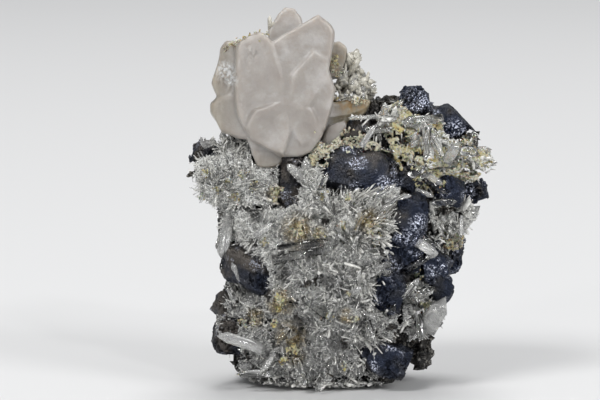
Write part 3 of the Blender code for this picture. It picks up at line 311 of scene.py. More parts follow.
# Calcite blades: outline across and up, depth of the front face's middle and of the back, how the front leans
# back to the right and upwards, in millimetres for each millimetre
CALCITE_BLADES = (
    (((-24.9, 78.8), (-24.2, 79.9), (-22, 81.0), (-19.5, 82), (-17.5, 80.5), (-16.5, 79), (-14, 70), (-12.5, 58), (-14, 53.2),
      (-18, 54.5), (-21.5, 56.8), (-24, 61), (-25.3, 65), (-24.7, 70)), -16.3, -2, (-0.20, 0.03)),
    (((-17, 79.3), (-13, 82), (-9.5, 84.1), (-6, 86.1), (-4.2, 84.3), (-3, 83.4), (-2.3, 82), (-2.4, 80),
      (-2.8, 78), (-4, 71), (-8, 64), (-14, 64), (-16.2, 72)), -15.8, 0, (0.05, 0.13)),
    (((-7, 78), (-4.3, 76), (-3.8, 73), (-2.7, 70), (-2.3, 68.5), (-2.9, 65), (-3.6, 62), (-4.4, 59.7),
      (-6.5, 57.5), (-10, 55), (-13, 60), (-12.5, 72)), -16.5, -2, (0.18, 0.0)),
    (((-23, 60), (-20, 56.3), (-15, 53), (-10, 52.9), (-7.5, 54), (-5, 58.5), (-7, 64), (-14, 66), (-21, 64)),
     -16.9, -3, (0.0, -0.14)),
    (((-22.5, 58), (-21.5, 54), (-20.3, 51), (-18.5, 50.5), (-15.5, 51), (-13, 53), (-14, 58)),
     -13.8, -2, (-0.05, -0.12)),
    (((-29, 76.5), (-28.7, 78.5), (-27.5, 80), (-25.5, 79.9), (-22, 79), (-19, 74), (-19, 66), (-24, 62.5),
      (-27.4, 63.5), (-29.4, 67.0), (-30.9, 70.1), (-30, 73)), -12.2, 1.5, (-0.30, 0.0)),
    (((-29.3, 67.0), (-31.1, 65.5), (-31.3, 63.5), (-30.5, 62), (-28.6, 58.8), (-24, 57.3), (-19, 57.5),
      (-18, 62), (-20, 67), (-25, 67.8)), -12.9, 1.5, (-0.28, 0.0)),
    (((-18, 82), (-16, 85), (-15.5, 86.2), (-13.8, 87.9), (-11.5, 87.5), (-10, 85.5), (-9.5, 83), (-11, 78),
      (-17, 78)), -9.0, 2.5, (0.0, 0.2)),
    (((-4, 79.6), (-1.2, 80), (0.3, 79), (0.8, 78), (0.6, 76), (-0.5, 72), (-5, 71)), -7.6, 1, (0.2, 0.0)),
    (((-3.6, 62.0), (-3.4, 65.4), (-0.6, 65.8), (2.9, 66.9), (6.3, 66.3), (6.0, 64.6), (2.0, 62.6)),
     -10.8, 0, (0.12, 0.25)),
    (((-7, 57.0), (-5, 63), (-2.6, 64.4), (3.2, 64.8), (5.7, 63.6), (2.6, 61.6), (0.2, 59.4), (-2.4, 56.6)),
     -10.4, 0, (0.10, -0.15)),
    (((-3.4, 60.4), (0.2, 61.8), (0.8, 60.4), (-1.4, 56.2), (-3.6, 54.6), (-5.2, 56.0)), -12.6, -3, (0.1, 0.0)),
    (((-25, 67), (-25.6, 73), (-22, 78.6), (-16.5, 80), (-13.5, 75), (-14.5, 67), (-19, 63.5)),
     7.4, -2, (0.12, -0.05)),
    (((-15, 80.5), (-9, 82.5), (-5, 79), (-4, 73), (-8, 67), (-14, 69), (-16.5, 75)), 8.0, -2, (-0.10, -0.08)),
    (((-18, 69), (-9, 70), (-6, 65.5), (-9, 61), (-17, 61), (-21, 64.5)), 7.0, -2, (0.0, 0.12)),
    (((-27, 74), (-22, 79), (-14, 82), (-7, 80), (-3, 74), (-4, 66), (-10, 62), (-20, 62), (-26, 66)),
     -4, 6.5, (0.0, 0.0)),
)
BLADE_RIM = ((1.0, 2.6), (0.99, 0.9), (0.97, 0.28), (0.93, 0.0))   # share of the outline, depth behind the front
BLADE_BACK = 0.72
# Brown stained pockets in the front druse, and places darkened by painted shade: across, height, reach
STAINED = (
    (-10.7, 38.6, 4.6), (-5.8, 37.6, 2.2), (-12.2, 13.6, 4.6), (-14.8, 21.2, 4.0), (-20.6, 17.6, 2.6),
    (-11.4, 8.6, 2.8), (5.6, 41.0, 3.4), (-15.6, 46.4, 2.8), (0.4, 18.4, 2.4),
)
PAINTED_SHADE = (
    (11.0, 30.6, 3.0), (-20.6, 41.6, 2.4), (-9.6, 16.4, 3.4), (-7.4, 34.4, 3.0), (-14.2, 28.4, 2.6), (-1.6, 12.2, 3.2),
    (4.4, 17.0, 2.2), (-22.6, 24.0, 3.0), (-4.0, 26.6, 2.6),
)
GALENA_VOXEL = 0.25
# Where the galena sparkles: across, height, reach
SPARKLING = (
    (10.0, 48.6, 3.2), (13.4, 37.0, 2.4), (17.2, 40.0, 2.8), (12.0, 30.2, 1.8), (-20.0, 30.4, 2.4), (2.5, 48.2, 1.8),
    (17.0, 66.6, 4.2), (26.0, 60.4, 3.6), (8.6, 14.0, 2.4), (29.0, 46.0, 2.2),
)
# The crown galena at the right is cut down to a peak and a slope: from where on, the peak, the fall to its right
CROWN_RIGHT = 20.0
CROWN_PEAK = (24.6, 66.0)
CROWN_FALL = 1.15
DRAWN_IN = {"galena_right_outer": 1.0, "galena_crown": 0.9, "galena_shoulder": 1.5, "galena_foot_left": 0.7, "galena_foot_right": 0.5}
ROCK_VOXEL = 0.62
# Blocky crystals that stand out of the rock: across, up, depth, reach
ROCK_KNOBS = (
    (17.0, 11.0, -3.0, 3.2), (18.0, 7.4, -2.5, 3.2), (17.4, 4.6, -1.0, 2.6), (18.2, 9.4, 1.5, 3.0),
    (24.2, 30.0, -3.5, 2.6), (23.4, 27.4, -2.0, 2.4), (11.2, 63.4, -1.0, 2.0), (8.6, 62.8, 0.0, 2.0),
)
CALCITE_VOXEL = 0.38
ETCHED = ((-26.8, 73.4, 3.2), (-21.5, 79.5, 2.0))     # etched places on the calcite: across, height, reach
RUSTY = ((0.8, 67.2, 3.4), (3.2, 67.0, 2.6), (-2.6, 76.4, 3.0), (-2.6, 68.6, 1.6))   # and rusty places
FROSTED = ((-27.4, 75.0, 2.8), (-26.2, 73.0, 1.9))     # and white ones
BROWN_FROM = -3.4             # the calcite is brown to the right of this, and in part left of and below these
BROWN_LEFT = -31.5
BROWN_LOW = 57.0
BROWN_BEHIND = -11.6
CRUST_VOXEL = 0.35
FADED = ((-3.0, 57.0, 9.0), (4.0, 58.0, 9.0))   # where the crust is paler: across, height, reach
TORN_EDGE = {"crust_flank": 0.02, "crust_heart": -0.42}     # where a sheet is torn: more is more torn
CRUST_THICK = 0.6
CRUST_NEEDLES = 0.5           # small quartz needles for each square millimetre of crust


def seen(across, up, depth):
    """The point, in millimetres, that stands at this place in the front view."""
    height = (up - depth * math.sin(VIEW_TILT)) / math.cos(VIEW_TILT)
    return Vector((across, depth, height))


def rock_face(across, height, behind):
    """The depth of the rock's front or back face at this place."""
    below, above = ROCK_SECTIONS[-2:]
    for low, high in zip(ROCK_SECTIONS, ROCK_SECTIONS[1:]):
        if height <= high[0]:
            below, above = low, high
            break
    share = min(1.0, max(0.0, (height - below[0]) / (above[0] - below[0])))
    middle, half_width, middle_depth, half_depth = [
        a + (b - a) * share for a, b in zip(below[1:], above[1:])
    ]
    out = min(ROCK_EDGE_SHARE, abs(across - middle) / half_width)
    bulge = half_depth * (1 - out ** ROCK_SQUARENESS) ** (1 / ROCK_SQUARENESS)
    return middle_depth + bulge if behind else middle_depth - bulge


def surface_of(*names):
    """A search tree, in millimetres, of some CAD nodes' surfaces."""
    points = []
    faces = []
    for name in names:
        start = len(points)
        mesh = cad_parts[name].data
        points += [vert.co / METRES_PER_MM for vert in mesh.vertices]
        faces += [[start + index for index in face.vertices] for face in mesh.polygons]
    return BVHTree.FromPolygons(points, faces)


# Meshes and pieces

def mesh_of(name, points, corners, sizes, materials=None, kinds=None):
    """A mesh from flat lists: every point, every face's corners, and how many corners each face has."""
    mesh = bpy.data.meshes.new(name)
    mesh.vertices.add(len(points))
    mesh.vertices.foreach_set("co", (np.asarray(points, float) * METRES_PER_MM).ravel())
    mesh.loops.add(len(corners))
    mesh.loops.foreach_set("vertex_index", np.asarray(corners, np.int32))
    starts = np.concatenate([[0], np.cumsum(sizes)[:-1]])
    mesh.polygons.add(len(sizes))
    mesh.polygons.foreach_set("loop_start", starts.astype(np.int32))
    for material in materials or ():
        mesh.materials.append(material)
    if kinds is not None:
        mesh.polygons.foreach_set("material_index", np.asarray(kinds, np.int32))
    mesh.update(calc_edges=True)
    mesh.validate()
    return mesh


def piece_of(name, mesh, nodes=()):
    """A finished mesh as a piece of the object that stands for some CAD nodes."""
    piece = bpy.data.objects.new(name, mesh)
    bpy.context.scene.collection.objects.link(piece)
    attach(piece, "root")
    if nodes:
        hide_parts(*nodes)
    return piece


def points_of(mesh):
    """A mesh's points in millimetres, as an array."""
    points = np.zeros(len(mesh.vertices) * 3)
    mesh.vertices.foreach_get("co", points)
    return points.reshape(-1, 3) / METRES_PER_MM


def normals_of(mesh):
    """A mesh's normals at its points, as an array."""
    normals = np.zeros(len(mesh.vertices) * 3)
    mesh.vertex_normals.foreach_get("vector", normals)
    return normals.reshape(-1, 3)


def set_points(mesh, points):
    """Moves a mesh's points to places in millimetres."""
    mesh.vertices.foreach_set("co", (points * METRES_PER_MM).ravel())
    mesh.update()


def fine_skin(mesh, voxel, smoothing):
    """A closed mesh as one even skin of small quads, eased by some rounds of smoothing."""
    holder = bpy.data.objects.new("holder", mesh)
    bpy.context.scene.collection.objects.link(holder)
    remesh = holder.modifiers.new("remesh", "REMESH")
    remesh.mode = "VOXEL"
    remesh.voxel_size = voxel * METRES_PER_MM
    if smoothing:
        ease = holder.modifiers.new("ease", "SMOOTH")
        ease.factor = 0.5
        ease.iterations = smoothing
    depsgraph = bpy.context.evaluated_depsgraph_get()
    made = bpy.data.meshes.new_from_object(holder.evaluated_get(depsgraph))
    bpy.data.objects.remove(holder)
    made.materials.clear()
    return made


# Six-sided quartz crystals

SIDES = 6
SIDE_TURN = math.pi / 3
CLEAR, MILKY, HAZY = range(3)     # the quartz materials, in their order on each piece


def unit(rows):
    """Rows of vectors, each one unit long."""
    return rows / np.maximum(np.linalg.norm(rows, axis=1, keepdims=True), 1e-9)


def crystal_points(roots, ways, lengths, widths, draw):
    """Thirteen points for each crystal: a ring at the root, a ring at the shoulders and the tip."""
    count = len(lengths)
    helper = np.where(np.abs(ways[:, 2:3]) < 0.9, [[0.0, 0.0, 1.0]], [[1.0, 0.0, 0.0]])
    first = unit(np.cross(helper, ways))
    second = np.cross(ways, first)
    half = widths[:, None] / 2
    spin = draw.uniform(0, SIDE_TURN, (count, 1))
    turns = spin + np.arange(SIDES) * SIDE_TURN
    after_turns = turns + SIDE_TURN
    reach = half * draw.uniform(0.72, 1.16, (count, SIDES))
    after = np.roll(reach, -1, axis=1)
    x = (reach * np.sin(after_turns) - after * np.sin(turns)) / math.sin(SIDE_TURN)
    y = (after * np.cos(turns) - reach * np.cos(after_turns)) / math.sin(SIDE_TURN)
    drop = half * draw.uniform(1.0, 2.1, (count, SIDES))
    shoulder = np.maximum(lengths[:, None] - drop, lengths[:, None] * 0.45)
    taper = draw.uniform(0.82, 0.97, (count, 1))
    ring = x[..., None] * first[:, None] + y[..., None] * second[:, None]
    base = roots[:, None] + ring
    top = roots[:, None] + ring * taper[..., None] + shoulder[..., None] * ways[:, None]
    off = draw.uniform(-0.4, 0.4, (count, 2)) * half
    tip = roots + ways * lengths[:, None] + first * off[:, :1] + second * off[:, 1:]
    return np.concatenate([base, top, tip[:, None]], axis=1)


def crystal_faces():
    """The faces of one crystal: its six sides, the six faces of its point, and its foot."""
    faces = [(side, (side + 1) % SIDES, SIDES + (side + 1) % SIDES, SIDES + side) for side in range(SIDES)]
    faces += [(SIDES + side, SIDES + (side + 1) % SIDES, 2 * SIDES) for side in range(SIDES)]
    faces.append(tuple(reversed(range(SIDES))))
    return faces


def crystals_mesh(name, groups, materials, draw):
    """One mesh of many crystals. groups holds rows of root, way, length, width and which material."""
    roots, ways, lengths, widths, kinds = [np.concatenate(part) for part in zip(*groups)]
    points = crystal_points(roots, unit(ways), lengths, widths, draw)
    low, high = [np.array(corner) / METRES_PER_MM for corner in cad_box]
    low = low - BOX_MARGIN
    high = high + BOX_MARGIN
    low[2] = FLOOR_CLEAR
    kept = ((points > low) & (points < high)).all(axis=(1, 2))
    points = points[kept]
    kinds = kinds[kept]
    faces = crystal_faces()
    corners = np.concatenate([np.array(face) for face in faces])
    sizes = np.array([len(face) for face in faces])
    count = len(points)
    per = points.shape[1]
    all_corners = (corners[None] + np.arange(count)[:, None] * per).ravel()
    all_kinds = np.repeat(kinds, len(faces))
    return mesh_of(name, points.reshape(-1, 3), all_corners, np.tile(sizes, count), materials, all_kinds)


def spread_ways(count, lean, tight, draw):
    """Directions spread over the half space around a lean, and drawn towards it by the tightness."""
    ways = unit(draw.normal(size=(count, 3)))
    lean = np.array(lean) / np.linalg.norm(lean)
    side = ways @ lean
    ways[side < 0] -= 2 * side[side < 0, None] * lean
    return unit(ways + lean * tight)


def spray_group(row, behind, coarse, draw):
    """The needles of one spray."""
    across, up, reach, front, lean_across, lean_up = row
    outward = 1.0 if behind else -1.0
    middle = seen(across, up, rock_face(across, up, behind) + outward * front)
    count = int(NEEDLES_PER_AREA * math.pi * reach ** 2 / coarse ** 1.3)
    lean = (lean_across * 1.2, outward, lean_up * 1.2)
    tight = 0.15 + 0.6 * math.hypot(lean_across, lean_up)
    ways = spread_ways(count, lean, tight, draw)
    roots = np.array(middle) + draw.normal(size=(count, 3)) * reach * 0.24 - ways * 0.4
    lengths = reach * draw.uniform(*NEEDLE_LENGTH, count)
    low, high = NEEDLE_WIDTH
    widths = (low + (high - low) * draw.random(count) ** 4.5) * (reach / 4.3) ** 0.5 * coarse
    return roots, ways, lengths, widths, mixed_kinds(count, min(0.85, 0.32 + 0.5 * math.hypot(lean_across, lean_up)), draw)


def larger_kinds(count, milky):
    """One larger crystal in three is clearer than the others."""
    return np.where(np.arange(count) % 3 == 2, HAZY if milky else CLEAR, MILKY if milky else HAZY)


def mixed_kinds(count, milky, draw):
    """Which material each needle has: a share is milky, and the rest is hazy, as fine needles are."""
    return np.where(draw.random(count) < milky, MILKY, HAZY)


def within_node(name, roots, ways, lengths):
    """Which needles end inside the box of a CAD node, or just outside it."""
    corners = np.array([vert.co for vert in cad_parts[name].data.vertices]) / METRES_PER_MM
    tips = roots + ways * lengths[:, None]
    return ((tips > corners.min(0) - STRAY) & (tips < corners.max(0) + STRAY)).all(axis=1)


def picked_rows(columns, kept):
    """The kept rows of every column of a group of crystals."""
    return [column[kept] for column in columns]


def open_air(tree, points, least):
    """Which points stand outside a closed surface, or no deeper than least inside it."""
    kept = []
    for point in points:
        place, normal, _, _ = tree.find_nearest(point)
        kept.append((Vector(point) - place).dot(normal) > -least)
    return np.array(kept)


def faces_of(mesh):
    """The middles in millimetres, the normals and the areas of a mesh's faces."""
    count = len(mesh.polygons)
    middles = np.zeros(count * 3)
    normals = np.zeros(count * 3)
    areas = np.zeros(count)
    mesh.polygons.foreach_get("center", middles)
    mesh.polygons.foreach_get("normal", normals)
    mesh.polygons.foreach_get("area", areas)
    return middles.reshape(-1, 3) / METRES_PER_MM, normals.reshape(-1, 3), areas / METRES_PER_MM ** 2


def ground_group(mesh, rock, per_area, coarse, draw):
    """Short needles all over a ground, where neighbours lean much the same way."""
    middles, normals, areas = faces_of(mesh)
    grown = np.array([face.material_index == 0 for face in mesh.polygons])
    share = areas * grown
    picked = draw.choice(len(areas), int(share.sum() * per_area), p=share / share.sum())
    roots = middles[picked] + draw.normal(size=(len(picked), 3)) * 0.15
    ways = normals[picked]
    kept = open_air(rock, roots, 0.3)
    roots = roots[kept]
    ways = ways[kept]
    count = len(roots)
    field = np.array([noise.noise_vector(Vector(root) * 0.3) for root in roots])
    ways = unit(ways * 0.75 + field * 1.9 + draw.normal(size=(count, 3)) * 0.3)
    low, high = FILL_LENGTH
    lengths = (low + (high - low) * draw.random(count) ** 1.6) * coarse ** 0.6
    low, high = FILL_WIDTH
    widths = (low + (high - low) * draw.random(count) ** 2.5) * coarse
    milky = 0.36 + 0.20 * np.clip((roots[:, 2] - 30.0) / 10.0, 0, 1)
    milky += 0.35 * np.clip((roots[:, 0] + 6.0) / 4.0, 0, 1) * np.clip((roots[:, 2] - 31.0) / 4.0, 0, 1)
    return roots - ways * 0.3, ways, lengths, widths, mixed_kinds(count, milky, draw)


def lying_group(rows, skin):
    """The crystals that lie on what is behind them."""
    roots = []
    tips = []
    for across, up, rise, to_across, to_up, out, _ in rows:
        depth = depth_at(skin, across, up) - rise
        roots.append(seen(across, up, depth))
        tips.append(seen(to_across, to_up, min(depth - out, depth_at(skin, to_across, to_up) - LEAST_RISE)))
    roots = np.array(roots)
    tips = np.array(tips)
    lengths = np.linalg.norm(tips - roots, axis=1)
    widths = np.array([row[6] for row in rows])
    kinds = np.where(np.arange(len(rows)) % 3 == 2, HAZY, CLEAR)
    return roots, unit(tips - roots), lengths, widths, kinds


def depth_at(skin, across, up):
    """The depth at which the line of sight through a place in the front view meets a surface."""
    start = seen(across, up, -FAR_IN_FRONT)
    sight = seen(across, up, 0.0) - start
    place, _, _, _ = skin.ray_cast(start, sight)
    return place.y if place is not None else 0.0


def single_group(rows, milky):
    """The single crystals of a piece."""
    roots = np.array([seen(*row[0:3]) for row in rows])
    tips = np.array([seen(*row[3:6]) for row in rows])
    lengths = np.linalg.norm(tips - roots, axis=1)
    widths = np.array([row[6] for row in rows])
    return roots, unit(tips - roots), lengths, widths, larger_kinds(len(rows), milky)


def quartz_pieces(kinds, pale_finish, felt_finish, gap_finish):
    """Every druse: sprays of needles, short needles between them, and the larger crystals."""
    rock = surface_of("sulphide_matrix")
    skin = surface_of(*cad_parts)
    for number, name in enumerate(SPRAYS):
        draw = np.random.RandomState(100 + number)
        behind = name in BACK_PIECES
        beside_calcite = name == "quartz_calcite_side"
        materials = [kinds[CLEAR], pale_finish if beside_calcite else kinds[MILKY], kinds[HAZY]]
        ground = ground_piece(name, pale_finish if beside_calcite else felt_finish, gap_finish, 50 + number)
        coarse = COARSE.get(name, 1.0)
        groups = [spray_group(row, behind, coarse, draw) for row in SPRAYS[name]]
        groups = [picked_rows(columns, within_node(name, *columns[:3])) for columns in groups]
        groups.append(single_group(SINGLE_CRYSTALS[name], beside_calcite))
        if LYING_CRYSTALS[name]:
            groups.append(lying_group(LYING_CRYSTALS[name], skin))
        if beside_calcite:
            groups += knob_groups(draw)
        if name == "quartz_front":
            groups.append(foot_group(draw))
        mesh = crystals_mesh(name + "_needles", groups, materials, draw)
        piece_of(name + "_needles", mesh, (name,))
        per_area = FILL_PER_AREA * SPARSE.get(name, 1.0) / coarse ** 1.3
        columns = ground_group(ground, rock, per_area, coarse, draw)
        columns = picked_rows(columns, within_node(name, *columns[:3]))
        parts = math.ceil(len(columns[0]) / MOST_NEEDLES)
        for part in range(parts):
            share = [column[part::parts] for column in columns]
            fill = crystals_mesh(f"{name}_fill_{part}", [share], materials, draw)
            piece_of(f"{name}_fill_{part}", fill)


def grainy(points, normals, cells_per_mm3, tilt, most, seed):
    """Lifts points so that the skin breaks into flat, tilted grains."""
    draw = random.Random(seed)
    low = points.min(0)
    high = points.max(0)
    count = int(np.prod(high - low) * cells_per_mm3)
    cells = KDTree(count)
    leans = []
    for number in range(count):
        cells.insert([draw.uniform(a, b) for a, b in zip(low, high)], number)
        leans.append(Vector([draw.gauss(0, tilt) for _ in range(3)]))
    cells.balance()
    lift = np.zeros(len(points))
    for index, point in enumerate(points):
        middle, number, _ = cells.find(point)
        lift[index] = max(-most, min(most, leans[number].dot(Vector(point) - middle)))
    return lift


def ground_piece(name, finish, gap_finish, seed):
    """The milky crystalline ground that a druse's needles stand on, with dark gaps."""
    mesh = fine_skin(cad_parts[name].data.copy(), GROUND_VOXEL, 1)
    points = points_of(mesh)
    normals = normals_of(mesh)
    gaps = np.array([noise.noise(Vector(point) * GAP_PITCH + Vector((seed, 0, 0))) for point in points])
    gaps += MORE_GAPS.get(name, 0.0)
    if name == "quartz_front":
        gaps += np.clip((LOW_DRUSE - points[:, 2]) / 10.0, 0, 1) * 0.09
    if name in BACK_PIECES:
        middle = (points.max(0) + points.min(0)) / 2
        half = (points.max(0) - points.min(0)) / 2
        away = np.hypot(*((points - middle) / half)[:, [0, 2]].T)
        gaps += np.clip((away - 0.45) / 0.5, 0, 1) * 0.6
    else:
        gaps += np.clip((points[:, 1] - TORN_FROM) / 10.0, 0, 1) * 0.75
    deep = np.clip((gaps - GAP_START) / 0.1, 0, 1)
    sink = GROUND_SINK
    if name == "quartz_calcite_side":
        deep[:] = 0.0
        sink = 0.0
    lift = grainy(points, normals, GROUND_CELLS, 0.9, 0.5, seed) - sink - GAP_DEPTH * deep
    set_points(mesh, points + normals * lift[:, None])
    mesh.materials.append(finish)
    mesh.materials.append(gap_finish)
    for face in mesh.polygons:
        face.material_index = int(np.mean([deep[corner] for corner in face.vertices]) > 0.6)
    piece_of(name + "_ground", mesh)
    return mesh


def foot_group(draw):
    """Small crystals that lie along the foot of the front druse."""
    low, high, count = FOOT_ROW
    roots = []
    for across in draw.uniform(low, high, count):
        height = draw.uniform(0.85, 2.0)
        roots.append((across, rock_face(across, height, False) - draw.uniform(0.3, 2.6), height))
    ways = draw.normal(size=(count, 3)) * (1.0, 0.6, 0.10) + (0.0, -0.6, 0.0)
    lengths = draw.uniform(1.2, 3.2, count)
    return np.array(roots), unit(ways), lengths, draw.uniform(0.3, 0.8, count), mixed_kinds(count, 0.4, draw)


def knob_groups(draw):
    """The short crystals of the knob beside the calcite."""
    groups = []
    for across, up, depth, wide, deep, tall, reach, count in SIDE_KNOB:
        ways = unit(draw.normal(size=(count, 3)))
        roots = np.array(seen(across, up, depth)) + draw.normal(size=(count, 3)) * (wide, deep, tall)
        lengths = reach * draw.uniform(0.4, 1.0, count)
        widths = reach * draw.uniform(0.25, 0.62, count)
        groups.append((roots, ways, lengths, widths, mixed_kinds(count, 0.7, draw)))
    return groups


# Materials

def wire(tree, kind, inputs=None, **settings):
    """A shader node with its inputs set, each to a value or to another node's output."""
    node = tree.nodes.new(kind)
    for key, value in settings.items():
        setattr(node, key, value)
    for key, value in (inputs or {}).items():
        if isinstance(value, bpy.types.NodeSocket):
            tree.links.new(value, node.inputs[key])
        else:
            node.inputs[key].default_value = value
    return node


def shader(name, **values):
    """A material, its node tree and its Principled BSDF with constant values set on it."""
    made = bpy.data.materials.new(name)
    made.use_nodes = True
    surface = made.node_tree.nodes["Principled BSDF"]
    for key, value in values.items():
        surface.inputs[key.replace("_", " ")].default_value = value
    return made, made.node_tree, surface


def in_mm(tree):
    """The object's own coordinates in millimetres."""
    place = wire(tree, "ShaderNodeTexCoord").outputs["Object"]
    grown = wire(tree, "ShaderNodeVectorMath", {0: place, "Scale": 1 / METRES_PER_MM}, operation="SCALE")
    return grown.outputs["Vector"]


def noise_of(tree, place, scale, detail=3.0, roughness=0.5):
    """A noise value between 0 and 1; scale is in bumps for each millimetre."""
    inputs = {"Vector": place, "Scale": scale, "Detail": detail, "Roughness": roughness}
    return wire(tree, "ShaderNodeTexNoise", inputs).outputs["Fac"]


def ramp(tree, value, *stops):
    """A colour ramp: stops are a place and a colour each."""
    node = wire(tree, "ShaderNodeValToRGB", {"Fac": value})
    band = node.color_ramp
    while len(band.elements) < len(stops):
        band.elements.new(0.5)
    for element, (place, colour) in zip(band.elements, stops):
        element.position = place
        element.color = (*colour, 1.0)
    return node.outputs["Color"]


def span(tree, value, low, high, to_low, to_high):
    """A value moved from one range to another, held at its ends."""
    inputs = {"Value": value, "From Min": low, "From Max": high, "To Min": to_low, "To Max": to_high}
    return wire(tree, "ShaderNodeMapRange", inputs).outputs["Result"]


def glitter(tree, place, scale, tilt):
    """Normals that jump from grain to grain, so that a broken surface sparkles."""
    cells = wire(tree, "ShaderNodeTexVoronoi", {"Vector": place, "Scale": scale}).outputs["Color"]
    centred = wire(tree, "ShaderNodeVectorMath", {0: cells, 1: (0.5, 0.5, 0.5)}, operation="SUBTRACT")
    leant = wire(tree, "ShaderNodeVectorMath", {0: centred.outputs[0], "Scale": tilt}, operation="SCALE")
    normal = wire(tree, "ShaderNodeNewGeometry").outputs["Normal"]
    added = wire(tree, "ShaderNodeVectorMath", {0: normal, 1: leant.outputs[0]}, operation="ADD")
    return wire(tree, "ShaderNodeVectorMath", {0: added.outputs[0]}, operation="NORMALIZE").outputs[0]


def bump(tree, height, distance, normal=None):
    """A bump of a height field; distance is in millimetres."""
    inputs = {"Height": height, "Distance": distance * METRES_PER_MM}
    if normal is not None:
        inputs["Normal"] = normal
    return wire(tree, "ShaderNodeBump", inputs).outputs["Normal"]


def clear_quartz(name, let_through):
    """Clear quartz with a breath of grey in places and slightly etched faces."""
    made, tree, surface = shader(name, Transmission_Weight=let_through, IOR=1.544)
    place = in_mm(tree)
    tint = ramp(tree, noise_of(tree, place, 0.35), (0.3, (0.88, 0.88, 0.87)), (0.7, (0.99, 0.99, 0.97)))
    tree.links.new(pocketed(tree, place, tint), surface.inputs["Base Color"])
    etched = span(tree, noise_of(tree, place, 1.6), 0.35, 0.75, 0.02, 0.16)
    tree.links.new(etched, surface.inputs["Roughness"])
    return made


def milky_quartz(name, darker, paler):
    """Quartz clouded by fine inclusions: light gets through, but not a picture."""
    made, tree, surface = shader(name, IOR=1.544)
    place = in_mm(tree)
    tint = ramp(tree, noise_of(tree, place, 0.5), (0.3, darker), (0.7, paler))
    tree.links.new(pocketed(tree, place, tint), surface.inputs["Base Color"])
    let_through = span(tree, noise_of(tree, place, 0.9), 0.3, 0.7, 0.15, 0.6)
    tree.links.new(let_through, surface.inputs["Transmission Weight"])
    etched = span(tree, noise_of(tree, place, 1.6), 0.35, 0.75, 0.08, 0.32)
    tree.links.new(etched, surface.inputs["Roughness"])
    return made


def felted_quartz():
    """The matted ground of a druse: bundles of fine needles that run another way from patch to patch."""
    made, tree, surface = shader("quartz_felted", IOR=1.544, Transmission_Weight=0.1, Roughness=0.3)
    place = in_mm(tree)
    patches = wire(tree, "ShaderNodeTexVoronoi", {"Vector": place, "Scale": 0.55}).outputs["Color"]
    turned = wire(tree, "ShaderNodeVectorMath", {0: patches, "Scale": 2 * math.pi}, operation="SCALE").outputs[0]
    along = wire(tree, "ShaderNodeVectorRotate", {"Vector": place, "Rotation": turned}, rotation_type="EULER_XYZ")
    drawn = wire(tree, "ShaderNodeVectorMath", {0: along.outputs[0], 1: (4.2, 4.2, 0.8)}, operation="MULTIPLY")
    needles = noise_of(tree, drawn.outputs[0], 1.0, 2.0)
    base = ramp(
        tree, needles, (0.34, (0.07, 0.071, 0.07)), (0.44, (0.33, 0.33, 0.32)), (0.56, (0.50, 0.50, 0.485)),
        (0.68, (0.75, 0.75, 0.72)),
    )
    specks = span(tree, noise_of(tree, place, 1.5, 2.0), 0.32, 0.40, 0.08, 1.0)
    height = wire(tree, "ShaderNodeSeparateXYZ", {0: place}).outputs["Z"]
    paler = span(tree, height, 10.0, 46.0, 0.90, 2.05)
    shade = wire(tree, "ShaderNodeMath", {0: specks, 1: paler}, operation="MULTIPLY").outputs[0]
    base = pocketed(tree, place, base)
    dotted = wire(tree, "ShaderNodeVectorMath", {0: base, "Scale": shade}, operation="SCALE").outputs[0]
    tree.links.new(dotted, surface.inputs["Base Color"])
    grains = glitter(tree, place, 2.2, 0.6)
    tree.links.new(bump(tree, needles, 0.5, grains), surface.inputs["Normal"])
    return made


def near_places(tree, place, places):
    """One where the front view is near any of some places (across, height, reach), and nothing elsewhere."""
    flat = wire(tree, "ShaderNodeVectorMath", {0: place, 1: (1.0, 0.0, 1.0)}, operation="MULTIPLY").outputs[0]
    nearest = None
    for across, height, reach in places:
        away = wire(tree, "ShaderNodeVectorMath", {0: flat, 1: (across, 0.0, height)}, operation="DISTANCE")
        near = span(tree, away.outputs["Value"], reach * 0.4, reach, 1.0, 0.0)
        if nearest is None:
            nearest = near
        else:
            nearest = wire(tree, "ShaderNodeMath", {0: near, 1: nearest}, operation="MAXIMUM").outputs[0]
    return nearest


def pocketed(tree, place, colour):
    """A druse's colour, browner in its stained pockets and darker where shade is painted in near the shaded places."""
    uneven = span(tree, noise_of(tree, place, 0.6, 3.0), 0.40, 0.58, 0.15, 0.9)
    brown = wire(tree, "ShaderNodeMath", {0: near_places(tree, place, STAINED), 1: uneven}, operation="MULTIPLY")
    toned = wire(tree, "ShaderNodeVectorMath", {0: colour, 1: (0.66, 0.52, 0.27)}, operation="MULTIPLY").outputs[0]
    mixed = wire(
        tree, "ShaderNodeMix", {"Factor": brown.outputs[0], "A": colour, "B": toned}, data_type="RGBA",
    )
    # painted shade: the colour is darkened, down to 0.42 of itself, near the listed shaded places
    shade = span(tree, near_places(tree, place, PAINTED_SHADE), 0.0, 1.0, 1.0, 0.42)
    darker = wire(tree, "ShaderNodeVectorMath", {0: mixed.outputs["Result"], "Scale": shade}, operation="SCALE")
    return darker.outputs[0]


